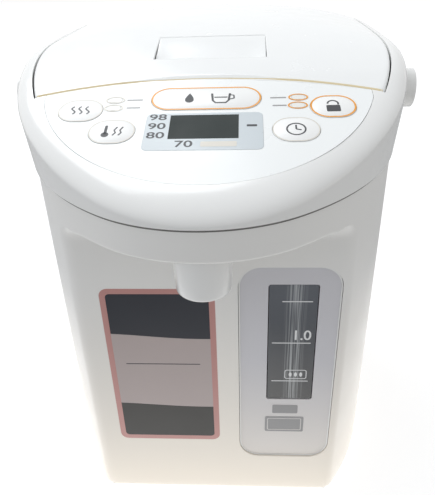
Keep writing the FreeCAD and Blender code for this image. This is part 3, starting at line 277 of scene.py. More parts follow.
def plastic(name, colour, rough=0.25, coat=0.3, tone=0.02, grain=0.02, grainScale=900.0, paintedWarmLight=None,
            specular=0.5):
    # Moulded plastic: a slow drift of tone, fine orange peel about 1 mm across and faint wear in the gloss
    material = bpy.data.materials.new(name)
    material.use_nodes = True
    add, link = nodeAdder(material)
    shader = material.node_tree.nodes["Principled BSDF"]
    shader.inputs["Coat Weight"].default_value = coat
    shader.inputs["Coat Roughness"].default_value = 0.08
    shader.inputs["Specular IOR Level"].default_value = specular
    coords = add("ShaderNodeTexCoord")
    drift = add("ShaderNodeTexNoise", in_Scale=14.0, in_Detail=3.0)
    link(coords.outputs["Object"], drift.inputs["Vector"])
    base = linear(colour)
    ramp = add("ShaderNodeValToRGB")
    ramp.color_ramp.elements[0].position = 0.3
    ramp.color_ramp.elements[1].position = 0.7
    ramp.color_ramp.elements[0].color = tuple(c * (1 - tone) for c in base[:3]) + (1,)
    ramp.color_ramp.elements[1].color = tuple(min(1, c * (1 + tone)) for c in base[:3]) + (1,)
    link(drift.outputs["Fac"], ramp.inputs["Fac"])
    colourOut = ramp.outputs["Color"]
    # Painted light: toward the bottom (fully at zLow, none above zHigh) the colour shifts to a warmer tone,
    # standing in for warm bounce light
    if paintedWarmLight:
        paintedWarmColour, zLow, zHigh = paintedWarmLight
        split = add("ShaderNodeSeparateXYZ")
        link(coords.outputs["Object"], split.inputs["Vector"])
        height = add("ShaderNodeMapRange", in_1=zLow * mm, in_2=zHigh * mm, in_3=1.0, in_4=0.0)
        link(split.outputs["Z"], height.inputs[0])
        mix = add("ShaderNodeMix", data_type="RGBA")
        link(height.outputs[0], mix.inputs[0])
        link(colourOut, mix.inputs[6])
        mix.inputs[7].default_value = linear(paintedWarmColour)
        colourOut = mix.outputs[2]
    link(colourOut, shader.inputs["Base Color"])
    peel = add("ShaderNodeTexNoise", in_Scale=grainScale, in_Detail=2.0)
    link(coords.outputs["Object"], peel.inputs["Vector"])
    bump = add("ShaderNodeBump", in_Strength=grain, in_Distance=0.0002)
    link(peel.outputs["Fac"], bump.inputs["Height"])
    link(bump.outputs["Normal"], shader.inputs["Normal"])
    wear = add("ShaderNodeTexNoise", in_Scale=60.0, in_Detail=4.0)
    link(coords.outputs["Object"], wear.inputs["Vector"])
    roughness = add("ShaderNodeMapRange", in_1=0.3, in_2=0.7, in_3=rough * 0.85, in_4=rough * 1.15)
    link(wear.outputs["Fac"], roughness.inputs[0])
    link(roughness.outputs[0], shader.inputs["Roughness"])
    return material


def steel(name, colour, rough, brushed=True):
    # Metal with drawing lines about 0.4 mm apart where it is brushed, drawn coarser than they are
    material = bpy.data.materials.new(name)
    material.use_nodes = True
    add, link = nodeAdder(material)
    shader = material.node_tree.nodes["Principled BSDF"]
    shader.inputs["Metallic"].default_value = 1.0
    coords = add("ShaderNodeTexCoord")
    stretch = add("ShaderNodeMapping")
    stretch.inputs["Scale"].default_value = (40.0, 40.0, 2600.0 if brushed else 40.0)
    link(coords.outputs["Object"], stretch.inputs["Vector"])
    lines = add("ShaderNodeTexNoise", in_Scale=1.0, in_Detail=3.0)
    link(stretch.outputs["Vector"], lines.inputs["Vector"])
    ramp = add("ShaderNodeValToRGB")
    base = linear(colour)
    ramp.color_ramp.elements[0].color = tuple(c * 0.9 for c in base[:3]) + (1,)
    ramp.color_ramp.elements[1].color = base
    link(lines.outputs["Fac"], ramp.inputs["Fac"])
    link(ramp.outputs["Color"], shader.inputs["Base Color"])
    roughness = add("ShaderNodeMapRange", in_1=0.2, in_2=0.8, in_3=rough * 0.8, in_4=rough * 1.2)
    link(lines.outputs["Fac"], roughness.inputs[0])
    link(roughness.outputs[0], shader.inputs["Roughness"])
    bump = add("ShaderNodeBump", in_Strength=0.05, in_Distance=0.0001)
    link(lines.outputs["Fac"], bump.inputs["Height"])
    link(bump.outputs["Normal"], shader.inputs["Normal"])
    return material


# Injection moulded polypropylene: even white, a soft shine, faint orange peel
white = plastic("gloss white polypropylene", "#f3f3f1", rough=0.22, coat=0.35, tone=0.012)
# The satin body white carries painted warm light, warmer toward the bottom
bodyWhite = plastic("satin white polypropylene", "#f0efec", rough=0.34, coat=0.15, tone=0.015,
                    paintedWarmLight=("#f3eadc", 20, 170))
lidWhite = plastic("gloss white lid polypropylene", "#f5f6f5", rough=0.24, coat=0.35, tone=0.010)
# Screen printed polyester: a flatter shine and a finer skin than the mouldings
filmWhite = plastic("printed polyester film", "#f8faf9", rough=0.3, coat=0.1, tone=0.008, grainScale=1500.0)
keyWhite = plastic("soft key film", "#fafaf8", rough=0.35, coat=0.05, tone=0.008, grainScale=1500.0)
# The gauge panel grey carries painted warm light, lighter and warmer toward the bottom
gaugeGrey = plastic("pale grey styrene", "#d4d3d7", rough=0.38, coat=0.1, tone=0.02,
                    paintedWarmLight=("#e4ded6", 30, 120))
# Painted highlight and warm shade: a cream line along the lid's front bevel, running down into the groove
bevelHighlightCream = plastic("painted cream bevel highlight", "#f0dfb4", rough=0.3, coat=0.2, tone=0.02)
# Unpainted inner mouldings, rubbers and board, seen when the lid is up
naturalWhite = plastic("natural polypropylene", "#d9d8d2", rough=0.45, coat=0.0, tone=0.03)
blackNylon = plastic("black nylon", "#202124", rough=0.5, coat=0.0, tone=0.08)
boardGreen = plastic("glass epoxy board", "#1f5a34", rough=0.4, coat=0.2, tone=0.08, grainScale=2500.0,
                     grain=0.06)
greyRubber = plastic("grey silicone rubber", "#8f8f8c", rough=0.65, coat=0.0, tone=0.04)
darkRubber = plastic("black rubber", "#1d1d1d", rough=0.75, coat=0.0, tone=0.06)
bezelGrey = plastic("silver grey print", "#ced6da", rough=0.32, coat=0.1, tone=0.015, grainScale=1500.0)
# Screen inks: one flat tone with hardly any shine
orangeInk = plastic("orange ink", "#f0a232", rough=0.4, coat=0.05, tone=0.02)
creamInk = plastic("pale warm grey ink", "#e2ddd2", rough=0.4, coat=0.05, tone=0.02)
blackInk = plastic("charcoal ink", "#33353a", rough=0.45, coat=0.05, tone=0.03)
greyInk = plastic("grey ink", "#9c9b9b", rough=0.45, coat=0.05, tone=0.03)
whiteInk = plastic("white ink", "#e9eaea", rough=0.4, coat=0.05, tone=0.02)
# Vinyl sticker: printed fields under a thin satin coat
labelPink = plastic("pink sticker print", "#c4908a", rough=0.38, coat=0.15, tone=0.03)
labelGrey = plastic("light sticker print", "#b8aba8", rough=0.38, coat=0.15, tone=0.02)
labelDark = plastic("navy sticker print", "#23262f", rough=0.36, coat=0.15, tone=0.05)
labelBrown = plastic("charcoal sticker print", "#35332f", rough=0.36, coat=0.15, tone=0.05)
lcdGreen = plastic("liquid crystal face", "#3a403f", rough=0.5, coat=0.0, tone=0.04, specular=0.12)
# Smoked styrene: dark and glassy, with painted shade that darkens the window toward the top and painted
# highlight streaks beside the level tube
smoked = plastic("smoked styrene window", "#3f4247", rough=0.16, coat=0.7, tone=0.06)
lensWhite = plastic("diffusing lens", "#f2f1ec", rough=0.3, coat=0.2, tone=0.01)
smokedTree = smoked.node_tree
add, link = nodeAdder(smoked)
where = add("ShaderNodeTexCoord")
pull = add("ShaderNodeMapping")
pull.inputs["Scale"].default_value = (1300.0, 1.0, 22.0)
pull.inputs["Rotation"].default_value = (0.0, math.radians(3.0), 0.0)
link(where.outputs["Object"], pull.inputs["Vector"])
# Painted highlight: bright streaks near the level tube stand in for its reflections
glintStreak = add("ShaderNodeTexNoise", in_Scale=1.0, in_Detail=2.0)
link(pull.outputs["Vector"], glintStreak.inputs["Vector"])
split = add("ShaderNodeSeparateXYZ")
link(where.outputs["Object"], split.inputs["Vector"])
nearTube = add("ShaderNodeMath", operation="SUBTRACT", in_1=0.0475)
link(split.outputs["X"], nearTube.inputs[0])
away = add("ShaderNodeMath", operation="ABSOLUTE")
link(nearTube.outputs[0], away.inputs[0])
glintBand = add("ShaderNodeMapRange", in_1=0.0015, in_2=0.0065, in_3=1.0, in_4=0.0)
link(away.outputs[0], glintBand.inputs[0])
lines = add("ShaderNodeMapRange", in_1=0.42, in_2=0.7, in_3=0.0, in_4=0.75)
link(glintStreak.outputs["Fac"], lines.inputs[0])
glintAmount = add("ShaderNodeMath", operation="MULTIPLY")
link(glintBand.outputs[0], glintAmount.inputs[0])
link(lines.outputs[0], glintAmount.inputs[1])
# Painted shade: the glass colour runs from lighter at the bottom to darker at the top
shadeByHeight = add("ShaderNodeMapRange", in_1=0.09, in_2=0.165, in_3=1.0, in_4=0.0)
link(split.outputs["Z"], shadeByHeight.inputs[0])
shadedGlass = add("ShaderNodeMix", data_type="RGBA")
shadedGlass.inputs[6].default_value = linear("#5e6269")
shadedGlass.inputs[7].default_value = linear("#343433")
link(shadeByHeight.outputs[0], shadedGlass.inputs[0])
glint = add("ShaderNodeMix", data_type="RGBA")
glint.inputs[7].default_value = linear("#c9cccd")
link(shadedGlass.outputs[2], glint.inputs[6])
link(glintAmount.outputs[0], glint.inputs[0])
link(glint.outputs[2], smokedTree.nodes["Principled BSDF"].inputs["Base Color"])
# Painted shade: a dull grey for the dark line of shade in the seam between head and case
seamShadeGrey = plastic("painted seam shadow", "#747370", rough=0.7, coat=0.0, tone=0.03)
# Drawn stainless keeps long soft reflections; zinc and cast pieces are duller
drawnSteel = steel("drawn stainless steel", "#b9b9b6", 0.22)
zinc = steel("zinc plated steel", "#b5b7ba", 0.3, brushed=False)
castAluminium = steel("cast aluminium", "#a9abad", 0.45, brushed=False)
clearTube = plastic("borosilicate tube", "#d8e2e6", rough=0.08, coat=0.5, tone=0.01)

dress = {
    "inner_white": naturalWhite, "steel": drawnSteel, "bright_steel": zinc, "aluminium": castAluminium,
    "rubber_grey": greyRubber, "rubber_dark": darkRubber, "board_green": boardGreen,
    "black_plastic": blackNylon,
    "clear_tube": clearTube, "white_shell": white, "grey_panel": gaugeGrey, "smoked_window": smoked,
    "print_film": filmWhite, "key_white": keyWhite, "bezel_grey": bezelGrey, "lcd": lcdGreen, "lens": lensWhite,
}
for part in frame["record"]["subparts"]:
    mesh = nodes[part["node"]].data
    if not mesh.materials:
        mesh.materials.append(None)
    for i in range(len(mesh.materials)):
        mesh.materials[i] = dress[part["material_slot"]]

print("stage: outer case")


def smoothMin(a, b, k):
    h = np.clip(0.5 + 0.5 * (b - a) / k, 0, 1)
    return b * (1 - h) + a * h - k * h * (1 - h)


ahead = np.maximum(-outward[:, 1], 0.05)  # 1e4 below stands for a flat front that a ray never meets
flatEdge = np.where(outward[:, 1] < -0.05, (body["front"] + body["blend"]) / ahead, 1e4)
wallLine = planRadius(body["inset"])
overhang = np.clip((wallLine - flatEdge) / 8.0, 0.0, 1.0)  # none where the case wall runs straight up


def ring(radius, z):
    z = np.broadcast_to(z, around)
    return [place(r * x, r * y, h) for r, (x, y), h in zip(radius, outward, z)]


def caseRing(inset, front, z):
    radius = planRadius(inset)
    flat = np.where(outward[:, 1] < -0.05, front / ahead, 1e4)
    radius = smoothMin(radius, flat, body["cornerSoft"])
    if z >= body["noseFloor"]:
        radius = np.minimum(radius, wallLine - body["collarSoft"] * overhang)
    return ring(radius, z)


caseRows = []
soft = body["footSoft"]
for t in np.linspace(0, math.pi / 2, 9):
    rim = soft * (1 - math.sin(t))
    caseRows.append((body["inset"] + rim, body["front"] - rim, body["low"] + soft * (1 - math.cos(t))))
for z in np.linspace(body["low"] + soft, body["noseFloor"] - body["blend"], 30)[1:]:
    caseRows.append((body["inset"], body["front"], z))
for t in np.linspace(0, math.pi / 2, 12)[1:]:
    grow, below = body["blend"] * (1 - math.cos(t)), body["blend"] * (1 - math.sin(t))
    caseRows.append((body["inset"], body["front"] + grow, body["noseFloor"] - below))
for f in np.linspace(body["front"] + body["blend"], head["noseReach"] - body["collarSoft"], 18)[1:-1]:
    caseRows.append((body["inset"], f, body["noseFloor"]))
rows = [caseRing(*row) for row in caseRows]


for t in np.linspace(0, math.pi / 2, 7):
    rows.append(ring(wallLine - body["collarSoft"] * (1 - math.sin(t)) * overhang,
                     body["noseFloor"] + body["collarSoft"] * (1 - math.cos(t))))
rows += [ring(wallLine, z) for z in (218, 223, head["seam"] - 0.5)]
rows += [ring(planRadius(body["inset"] + step), head["seam"]) for step in (0.5, 3.0)]
case = walled(addMesh("outerCase", loft(rows), bodyWhite), head["wall"])


def frontLift(a, b, h):
    return place(a, -h, b)


def rearLift(a, b, h):
    return place(a, h, b)


def gaugeOutline(grow):
    return roundRect(gauge["x0"] - grow, gauge["x1"] + grow, gauge["z0"] - grow, gauge["z1"] + grow,
                     gauge["round"] + min(grow, 0.25))


gaugeSeat = prism("gaugeSeat", gaugeOutline(0.25), frontLift, body["front"] - 8, body["front"] + 5)
inletCut = prism("inletCut", roundRect(-19.0, 19.0, 24.0, 48.0, 2.0), rearLift, 118, 130)
cutBy(case, [gaugeSeat, inletCut])
standsFor(case, "outer_case")
# A grey band just proud of the case under the head's edge: painted shade standing for the seam groove
proud = planRadius(body["inset"] - 0.04)
seamShadowRows = [ring(proud, head["seam"] - 0.6), ring(proud, head["seam"] + 0.1),
            ring(planRadius(body["inset"] + 0.6), head["seam"] + 0.1)]
addMesh("seamShadowBand", loft(seamShadowRows), seamShadeGrey)

print("stage: head")


toFront = smooth(20, 95, -planRadius(0) * outward[:, 1])
softWide, softDeep = [side + (front - side) * toFront
                      for side, front in zip(head["softSide"], head["softFront"])]


def leaned(inset, by):
    base = planRadius(inset)
    return base + (planRadius(inset + 3.0) - base) * by / 3.0


def wallInset(z):
    return head["flare"] * np.clip((head["rim"] - z) / (head["rim"] - head["seam"] - 0.3), 0, 1)


def topHeight(inset, x, y):
    inner = np.clip(1 - inset / softWide, 0, 1)
    return headTop(x, y) - softDeep * (1 - np.sqrt(1 - inner * inner))


seamZ = head["seam"] + head["seamGap"]
lean = np.zeros(around)
for _ in range(4):
    edge = planRadius(0) - lean
    edgeZ = headTop(edge * outward[:, 0], edge * outward[:, 1]) - softDeep
    lean = wallInset(edgeZ)
headRows = [ring(planRadius(head["flare"] + step), seamZ) for step in (3.0, 0.5)]
for share in np.linspace(0, 1, 14):
    zs = seamZ + 0.5 + (edgeZ - 0.7 - seamZ) * share
    headRows.append(ring(leaned(0.0, wallInset(zs)), zs))
for inset in (0.05, 0.25, 0.6, 1.1, 1.8, 2.7, 3.8, 5.0, 6.4, 8.0, 9.8, 11.8, 13.5, 16.0, 20.0, 26.0, 34.0):
    radius = leaned(inset, lean)
    headRows.append(ring(radius, topHeight(inset, radius * outward[:, 0], radius * outward[:, 1])))
inner = leaned(34.0, lean)
for share in (0.8, 0.6, 0.4, 0.2, 0.05):
    radius = inner * share
    headRows.append(ring(radius, headTop(radius * outward[:, 0], radius * outward[:, 1])))
shell = walled(addMesh("headSkin", loft(headRows, capHigh=True), white), head["wall"])
frontCy = -lid["frontY"] - lid["frontRadius"]


def lidOutline(inset, gap, rear, frontSteps=80):
    # From the left front corner along the hollow front arc and round the rear
    side = sideRadius - inset
    front = lid["frontRadius"] - gap

    def arcY(x):
        return frontCy + math.sqrt(front * front - x * x)

    def sideY(x):
        return -head["sideArcY"] - math.sqrt(max(side * side - (x - sideX) ** 2, 0.0))

    corner = next(x for x in np.linspace(0, 110, 4401)
                  if side * side > (x - sideX) ** 2 and sideY(x) > arcY(x))
    pts = [(x, arcY(x)) for x in np.linspace(-corner, corner, frontSteps)]
    start = math.atan2(pts[-1][1] + head["sideArcY"], corner - sideX)
    for t in np.linspace(start, 0, 40)[1:]:
        pts.append((sideX + side * math.cos(t), -head["sideArcY"] + side * math.sin(t)))
    pts.append((head["halfWidth"] - inset, rear))
    return pts + [(-x, y) for x, y in pts[frontSteps:]][::-1]


openingEdge = [(a - math.copysign(0.42 * float(smooth(-40, 0, b)), a) if abs(a) > 60 else a, b)
               for a, b in lidOutline(lid["inset"] - lid["gap"], lid["gap"], 150.0)]
opening = prism("lidOpening", openingEdge, place, head["rearTop"], 330)
filmPoints = []
for vert in nodes["control_film"].data.vertices:
    y, z = vert.co.y / mm - axisY - head["panelY"], vert.co.z / mm - head["panelZ"]
    filmPoints.append((vert.co.x / mm, y * tiltCos + z * tiltSin))
filmEdge = [filmPoints[i] for i in geometry.convex_hull_2d(filmPoints)]
filmMid = -46
filmSeat = prism("filmSeat", [(u * 1.003, filmMid + (v - filmMid) * 1.005) for u, v in filmEdge], onPanel,
                 head["filmSeat"], 7.0)
keyPlaces = {"dispense_key": (0, -22.3, 56, 19.6), "unlock_key": (63.2, -31.0, 22.5, 18.4),
             "timer_key": (44.0, -49.2, 22.5, 18.4), "keep_warm_key": (-44.4, -49.0, 22.5, 18.4),
             "boil_key": (-63.2, -31.2, 22.5, 18.4)}


def keyOutline(word, grow=0.0):
    u, v, long, tall = keyPlaces[word]
    wide, high = long / 2 + grow, tall / 2 + grow
    return roundRect(u - wide, u + wide, v - high, v + high, high * 0.98, 14)


# Each key's flange and stem sink into a room under the film
rooms = [prism("room" + word, keyOutline(word, 1.6), onPanel, -14.0, 0.6) for word in keyPlaces]
cutBy(shell, [opening, filmSeat] + rooms)
standsFor(shell, "head_shell")

print("stage: lid")
lidX = head["halfWidth"] - lid["inset"]
lidSide = sideRadius - lid["inset"]


def lidFront(x):
    arc = frontCy + math.sqrt(lid["frontRadius"] ** 2 - x * x)
    room = lidSide ** 2 - (abs(x) - sideX) ** 2
    side = -head["sideArcY"] - math.sqrt(max(room, 0.0))
    return max(arc, side)


def lidRear(x):
    c = head["halfWidth"] - head["rearCorner"]
    if abs(x) <= c:
        return head["rear"]
    return head["rear"] - head["rearCorner"] + math.sqrt(max(head["rearCorner"] ** 2 - (abs(x) - c) ** 2, 0))


def lidEdge(x, y):
    # How far a point lies inside the lid's sides
    if y < -head["sideArcY"]:
        return lidSide - math.hypot(abs(x) - sideX, y + head["sideArcY"])
    return lidX - abs(x)


def rearEdge(x, y):
    c = head["halfWidth"] - head["rearCorner"]
    cy = head["rear"] - head["rearCorner"]
    if abs(x) > c and y > cy:
        return head["rearCorner"] - math.hypot(abs(x) - c, y - cy)
    return head["rear"] - y


bayRows = []  # wall that closes the space under the panel when the lid is up
for into, top in ((0.9, False), (0.9, True), (2.1, True), (2.1, False)):
    line = []
    for x in np.linspace(-92.0, 92.0, 93):
        y = frontCy + math.sqrt(lid["frontRadius"] ** 2 - x * x) - into
        line.append(place(x, y, float(headTop(x, y)) - 1.0 if top else lid["bayFloor"]))
    bayRows.append(line)
addMesh("lidBayWall", loft(bayRows, closed=False), white)
# Columns and rows crowd together where the lid's edges round over
halfColumns = [0, 4, 8, 12, 16, 20, 24, 28, 30, 31.4, 31.9, 32.15, 32.6, 33.4, 34.4, 36, 39, 43, 48, 53, 58,
               63, 68, 73, 77, 81, 84, 87, 89, 90.5, 92, 93.5, 95, 96.5, 97.7, 98.7, 99.4, 99.9, 100.3, 100.6,
               100.8, 100.95, 101.05, lidX]
columns = sorted({round(side * x, 4) for side in (-1, 1) for x in halfColumns})
leverFront, leverRear = lever["frontY"] - lever["gap"], lever["rearY"] + 0.02
frontRows = [y - lid["frontY"] for y in (0, 0.06, 0.2, 0.45, 0.8, 1.2, 1.8, 2.6, 3.0, 3.4, 4.6, 6.5, 9, 12, 15,
                                         18, 20.2)]
rearRows = [100, 104, 108, 111, 114, 116, 118, 119.5, 121, 122.2, 123.4, 124.4, 125.3, 126.1, 126.8, 127.3,
            127.65, 127.87, 127.97, 128.0]
baseRows = frontRows + [leverFront - 0.5] + list(np.linspace(leverFront, leverRear, 16)) + [5.2, 7] + \
    list(np.linspace(11, 96, 22)) + rearRows


def lidTop(x, y):
    z = float(headTop(x, y))
    fromFront = y - lidFront(x)
    facet = 3.4 * float(1 - smooth(16, 62, abs(x)))
    if facet > 0.3 and fromFront < facet:
        z -= (facet - fromFront) * 0.3
    z -= float(drop(max(fromFront, 0), lid["soft"]))
    z -= float(drop(max(lidEdge(x, y), 0), 1.8))
    z -= float(drop(max(rearEdge(x, y), 0), 9.0))
    return z


grid = []
for x in columns:
    shift = lidFront(x) + 51.0
    wide = float(smooth(60, 80, abs(x)))
    yRear = lidRear(x)
    line = []
    for Y in baseRows:
        short = 1 - float(smooth(-51, leverFront - 0.6, Y)) if Y > -51 else 1.0
        long = 1 - (Y + 51) / 130 if Y < 79 else 0.0
        y = Y + shift * (short * (1 - wide) + long * wide)
        if Y > 60:
            y = 60 + (y - 60) * (yRear - 60) / 68.0 if yRear < 128 else y
        line.append((x, y, lidTop(x, y)))
    grid.append(line)
bm = loft([[place(*point) for point in line] for line in grid], closed=False)
rim = [edge for edge in bm.edges if edge.is_boundary]
for vert in bmesh.ops.extrude_edge_only(bm, edges=rim)["geom"]:
    if isinstance(vert, bmesh.types.BMVert):
        vert.co.z = min(lid["skirt"] * mm, vert.co.z - mm)
leverBay = []
for quad in bm.faces:
    middle = quad.calc_center_median() / mm
    if abs(middle.x) < 32.15 and leverFront < middle.y - axisY < leverRear:
        leverBay.append(quad)
bmesh.ops.delete(bm, geom=leverBay, context="FACES")
cover = walled(addMesh("lidCover", bm, lidWhite, "lid"), lid["wall"])
standsFor(cover, "lid_cover")
# A cream strip along the lid's front edge and down into the groove: painted highlight and warm shade
bevelHighlightRows = []
for depth, fall in ((-0.25, 1.6), (-0.12, 0.75), (0.1, 0.45), (0.5, 0.22), (1.0, 0.02)):
    line = []
    for x in np.linspace(-89.5, 89.5, 121):
        y = lidFront(x) + depth
        line.append(place(x, y, lidTop(x, max(y, lidFront(x) + 0.02)) + 0.10 - (fall if depth < 0 else 0)))
    bevelHighlightRows.append(line)
addMesh("lidBevelHighlight", loft(bevelHighlightRows, closed=False), bevelHighlightCream, "lid", 0)

print("stage: lever")
leverCols = sorted({side * x for side in (-1, 1) for x in (0, 6, 13, 20, 26, 29.5, 31.0, 31.6, 31.9, 32.0)})
leverRows = list(np.linspace(lever["frontY"], lever["rearY"], 28))


def leverTop(x, y):
    along = (lever["rearY"] - y) / (lever["rearY"] - lever["frontY"])
    side = lever["half"] - abs(x)
    hollow = 0.65 + 0.35 * float(smooth(0, 9, lever["half"] - abs(x)))
    fall = lever["fall"] * float(smooth(0.0, 1.0, along)) * hollow
    crease = 0.08 + 0.92 * float(smooth(0.0, 0.6, along))  # the plate runs flush into the lid at its rear
    return float(headTop(x, y)) - crease * (0.25 + float(drop(max(side, 0), 0.6))) - fall


plateRows = [[place(x, y, leverTop(x, y)) for y in leverRows] for x in leverCols]
plate = walled(addMesh("leverPlate", loft(plateRows, closed=False), lidWhite, "lever"), lever["thick"])
standsFor(plate, "lid_lever")

print("stage: spout")
profile = [(spout["r"] - fall, z) for fall, z in (
    (0.05, body["noseFloor"] + 1.0), (0.05, 204.0), (0.3, 197.0), (0.6, spout["low"] + 1.4),
    (0.85, spout["low"] + 0.5), (1.3, spout["low"] + 0.05), (1.8, spout["low"] + 0.2),
    (2.2, spout["low"] + 1.0), (2.4, 199.0), (2.6, 209.0), (spout["r"] - 6.0, 209.3))]
bm = bmesh.new()
line = [bm.verts.new(place(r, spout["y"], z)) for r, z in profile]
edges = [bm.edges.new(pair) for pair in zip(line, line[1:])]
bmesh.ops.spin(bm, geom=line + edges, cent=place(0, spout["y"], 0), axis=(0, 0, 1), angle=2 * math.pi,
               steps=96, use_merge=True)
standsFor(addMesh("spoutSkirt", bm, white, "pot", 40), "spout_cover")
tip = nodes["nozzle"].data.copy()
tipLow = min(v.co.z for v in tip.vertices) / mm
for vert in tip.vertices:  # the nozzle's mouth stays just inside the skirt
    z = vert.co.z / mm
    if z < 206.0:
        vert.co.z = (206.0 - (206.0 - z) * (206.0 - spout["nozzleLow"]) / (206.0 - tipLow)) * mm
tipPiece = bpy.data.objects.new("nozzleTip", tip)
bpy.context.scene.collection.objects.link(tipPiece)
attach(tipPiece, "pot")
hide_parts("nozzle")

print("stage: front panel")


def slab(name, outline, lift, low, high, soft, material, steps=4):
    # A plate of an outline with a soft raised edge
    a = np.array(outline)
    tangent = np.roll(a, -1, axis=0) - np.roll(a, 1, axis=0)
    length = np.maximum(np.hypot(tangent[:, 0], tangent[:, 1]), 1e-9)
    normal = np.column_stack([tangent[:, 1], -tangent[:, 0]]) / length[:, None]
    if np.sum(normal * (a - a.mean(axis=0))) < 0:
        normal = -normal
    layers = [(a, low)]
    for t in np.linspace(0, math.pi / 2, steps + 1):
        layers.append((a - normal * soft * (1 - math.cos(t)), high - soft * (1 - math.sin(t))))
    rows = [[lift(x, y, h) for x, y in pts] for pts, h in layers]
    return addMesh(name, loft(rows, capLow=True, capHigh=True), material, "pot", 40)


def band(name, outer, inner, lift, height, material, bodyName="pot"):
    # A flat printed line between two outlines with as many points each
    return addMesh(name, loft([[lift(a, b, height) for a, b in edge] for edge in (outer, inner)]), material,
                   bodyName, 0)


def patch(name, outline, lift, height, material, bodyName="pot"):
    bm = bmesh.new()
    bm.faces.new([bm.verts.new(lift(a, b, height)) for a, b in outline])
    return addMesh(name, bm, material, bodyName, 0)


def framePlate(name, outer, inner, lift, low, high, material):
    # A closed plate with a hole; the last row comes back to the first and merges with it
    rows = [[lift(a, b, h) for a, b in edge]
            for edge, h in ((outer, low), (outer, high), (inner, high), (inner, low), (outer, low))]
    return addMesh(name, loft(rows), material)


face = body["front"] - gauge["sink"]
gz0, gz1 = gauge["windowZ"]
gx0, gx1 = gauge["windowX"]
panelHole = roundRect(gx0 - 0.4, gx1 + 0.4, gz0 - 0.4, gz1 + 0.4, 1.6)
panel = framePlate("gaugePlate", gaugeOutline(0), panelHole, frontLift, face - 2.6, face, gaugeGrey)
standsFor(panel, "gauge_panel")
rimOuter = roundRect(gauge["x0"] + 0.02, gauge["x1"] - 0.02, gauge["z0"] + 0.02, gauge["z1"] - 0.02,
                     gauge["round"])
rimInner = roundRect(gauge["x0"] + 0.8, gauge["x1"] - 0.8, gauge["z0"] + 0.8, gauge["z1"] - 0.8,
                     gauge["round"] - 0.8)
band("gaugeRim", rimOuter, rimInner, frontLift, face + 0.12, white)
window = slab("gaugeGlass", roundRect(gx0, gx1, gz0, gz1, 1.4), frontLift, face - 2.2, face - 0.35, 0.3,
              smoked)
standsFor(window, "gauge_window")
tickHeight = face - 0.30
for k, (x0, x1, z) in enumerate(((39.8, 56.5, 160.5), (34.7, 56.8, 131.7), (35.0, 56.6, 102.9))):
    patch(f"gaugeTick{k}", roundRect(x0, x1, z - 0.32, z + 0.32, 0.2, 3), frontLift, tickHeight, whiteInk)


def printed(name, words, size, lift, u, v, height, material, stretch=1.0, weight=0.0):
    # Plain numbers as flat print, centred on a point of a face
    curve = bpy.data.curves.new(name, "FONT")
    curve.body = words
    curve.size = size
    curve.align_x = "CENTER"
    curve.align_y = "CENTER"
    curve.offset = weight
    curve.resolution_u = 6
    text = bpy.data.objects.new(name, curve)
    bpy.context.scene.collection.objects.link(text)
    bpy.context.view_layer.update()
    mesh = bpy.data.meshes.new_from_object(text.evaluated_get(bpy.context.evaluated_depsgraph_get()))
    bpy.data.objects.remove(text)
    bpy.data.curves.remove(curve)
    for vert in mesh.vertices:
        vert.co = lift(u + vert.co.x * stretch, v + vert.co.y, height)
    mesh.materials.clear()
    mesh.materials.append(material)
    obj = bpy.data.objects.new(name, mesh)
    bpy.context.scene.collection.objects.link(obj)
    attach(obj, "pot")
    return obj


printed("gaugeNumber", "1.0", 9.6, frontLift, 51.4, 137.0, tickHeight, whiteInk, stretch=0.95, weight=0.12)
band("gaugeMark", roundRect(42.6, 55.6, 104.6, 111.6, 1.4), roundRect(43.1, 55.1, 105.1, 111.1, 1.0),
     frontLift, tickHeight, whiteInk)
for k, x in enumerate((46.0, 49.1, 52.2)):
    patch(f"gaugeDrop{k}", ellipse(x, 108.0, 0.9, 1.7), frontLift, tickHeight, whiteInk)
patch("badgeBar", roundRect(36.0, 51.5, 76.5, 83.5, 0.8), frontLift, face + 0.10, greyInk)
patch("badgePlate", roundRect(31.6, 55.6, 60.6, 73.6, 1.0), frontLift, face + 0.10, greyInk)
band("badgeLine", roundRect(33.0, 54.2, 62.0, 72.2, 0.8), roundRect(33.5, 53.7, 62.5, 71.7, 0.5), frontLift,
     face + 0.16, gaugeGrey)

print("stage: label")
stick = body["front"]
lx0, lx1, lz0, lz1 = label["x0"], label["x1"], label["z0"], label["z1"]
slab("labelBase", roundRect(lx0, lx1, lz0, lz1, label["round"]), frontLift, stick - 0.3, stick + 0.10, 0.08,
     labelPink)


def waveLine(level, swing):
    return [(x, level + swing * math.cos((x - lx0) / (lx1 - lx0) * math.pi + 0.4))
            for x in np.linspace(lx0 + edge, lx1 - edge, 40)]


edge = label["edge"]
top, bottom = lz1 - edge, lz0 + edge
waveTop, waveLow = waveLine(top - 29.0, 1.8), waveLine(bottom + 27.0, 1.4)
inside = roundRect(lx0 + edge, lx1 - edge, bottom, top, 2.4)
topCorner = [point for point in inside if point[1] > top - 5]
lowCorner = [point for point in inside if point[1] < bottom + 5]
patch("labelNight", topCorner + waveTop, frontLift, stick + 0.13, labelDark)
patch("labelPale", waveTop[::-1] + waveLow, frontLift, stick + 0.125, labelGrey)
lowLeft = [p for p in lowCorner if p[0] < (lx0 + lx1) / 2]
lowRight = [p for p in lowCorner if p[0] > (lx0 + lx1) / 2]
patch("labelCoal", waveLow[::-1] + lowLeft + lowRight, frontLift, stick + 0.13, labelBrown)
patch("labelRule", roundRect(lx0 + 10, lx1 - 10, 116.4, 117.0, 0.2, 2), frontLift, stick + 0.14, blackInk)

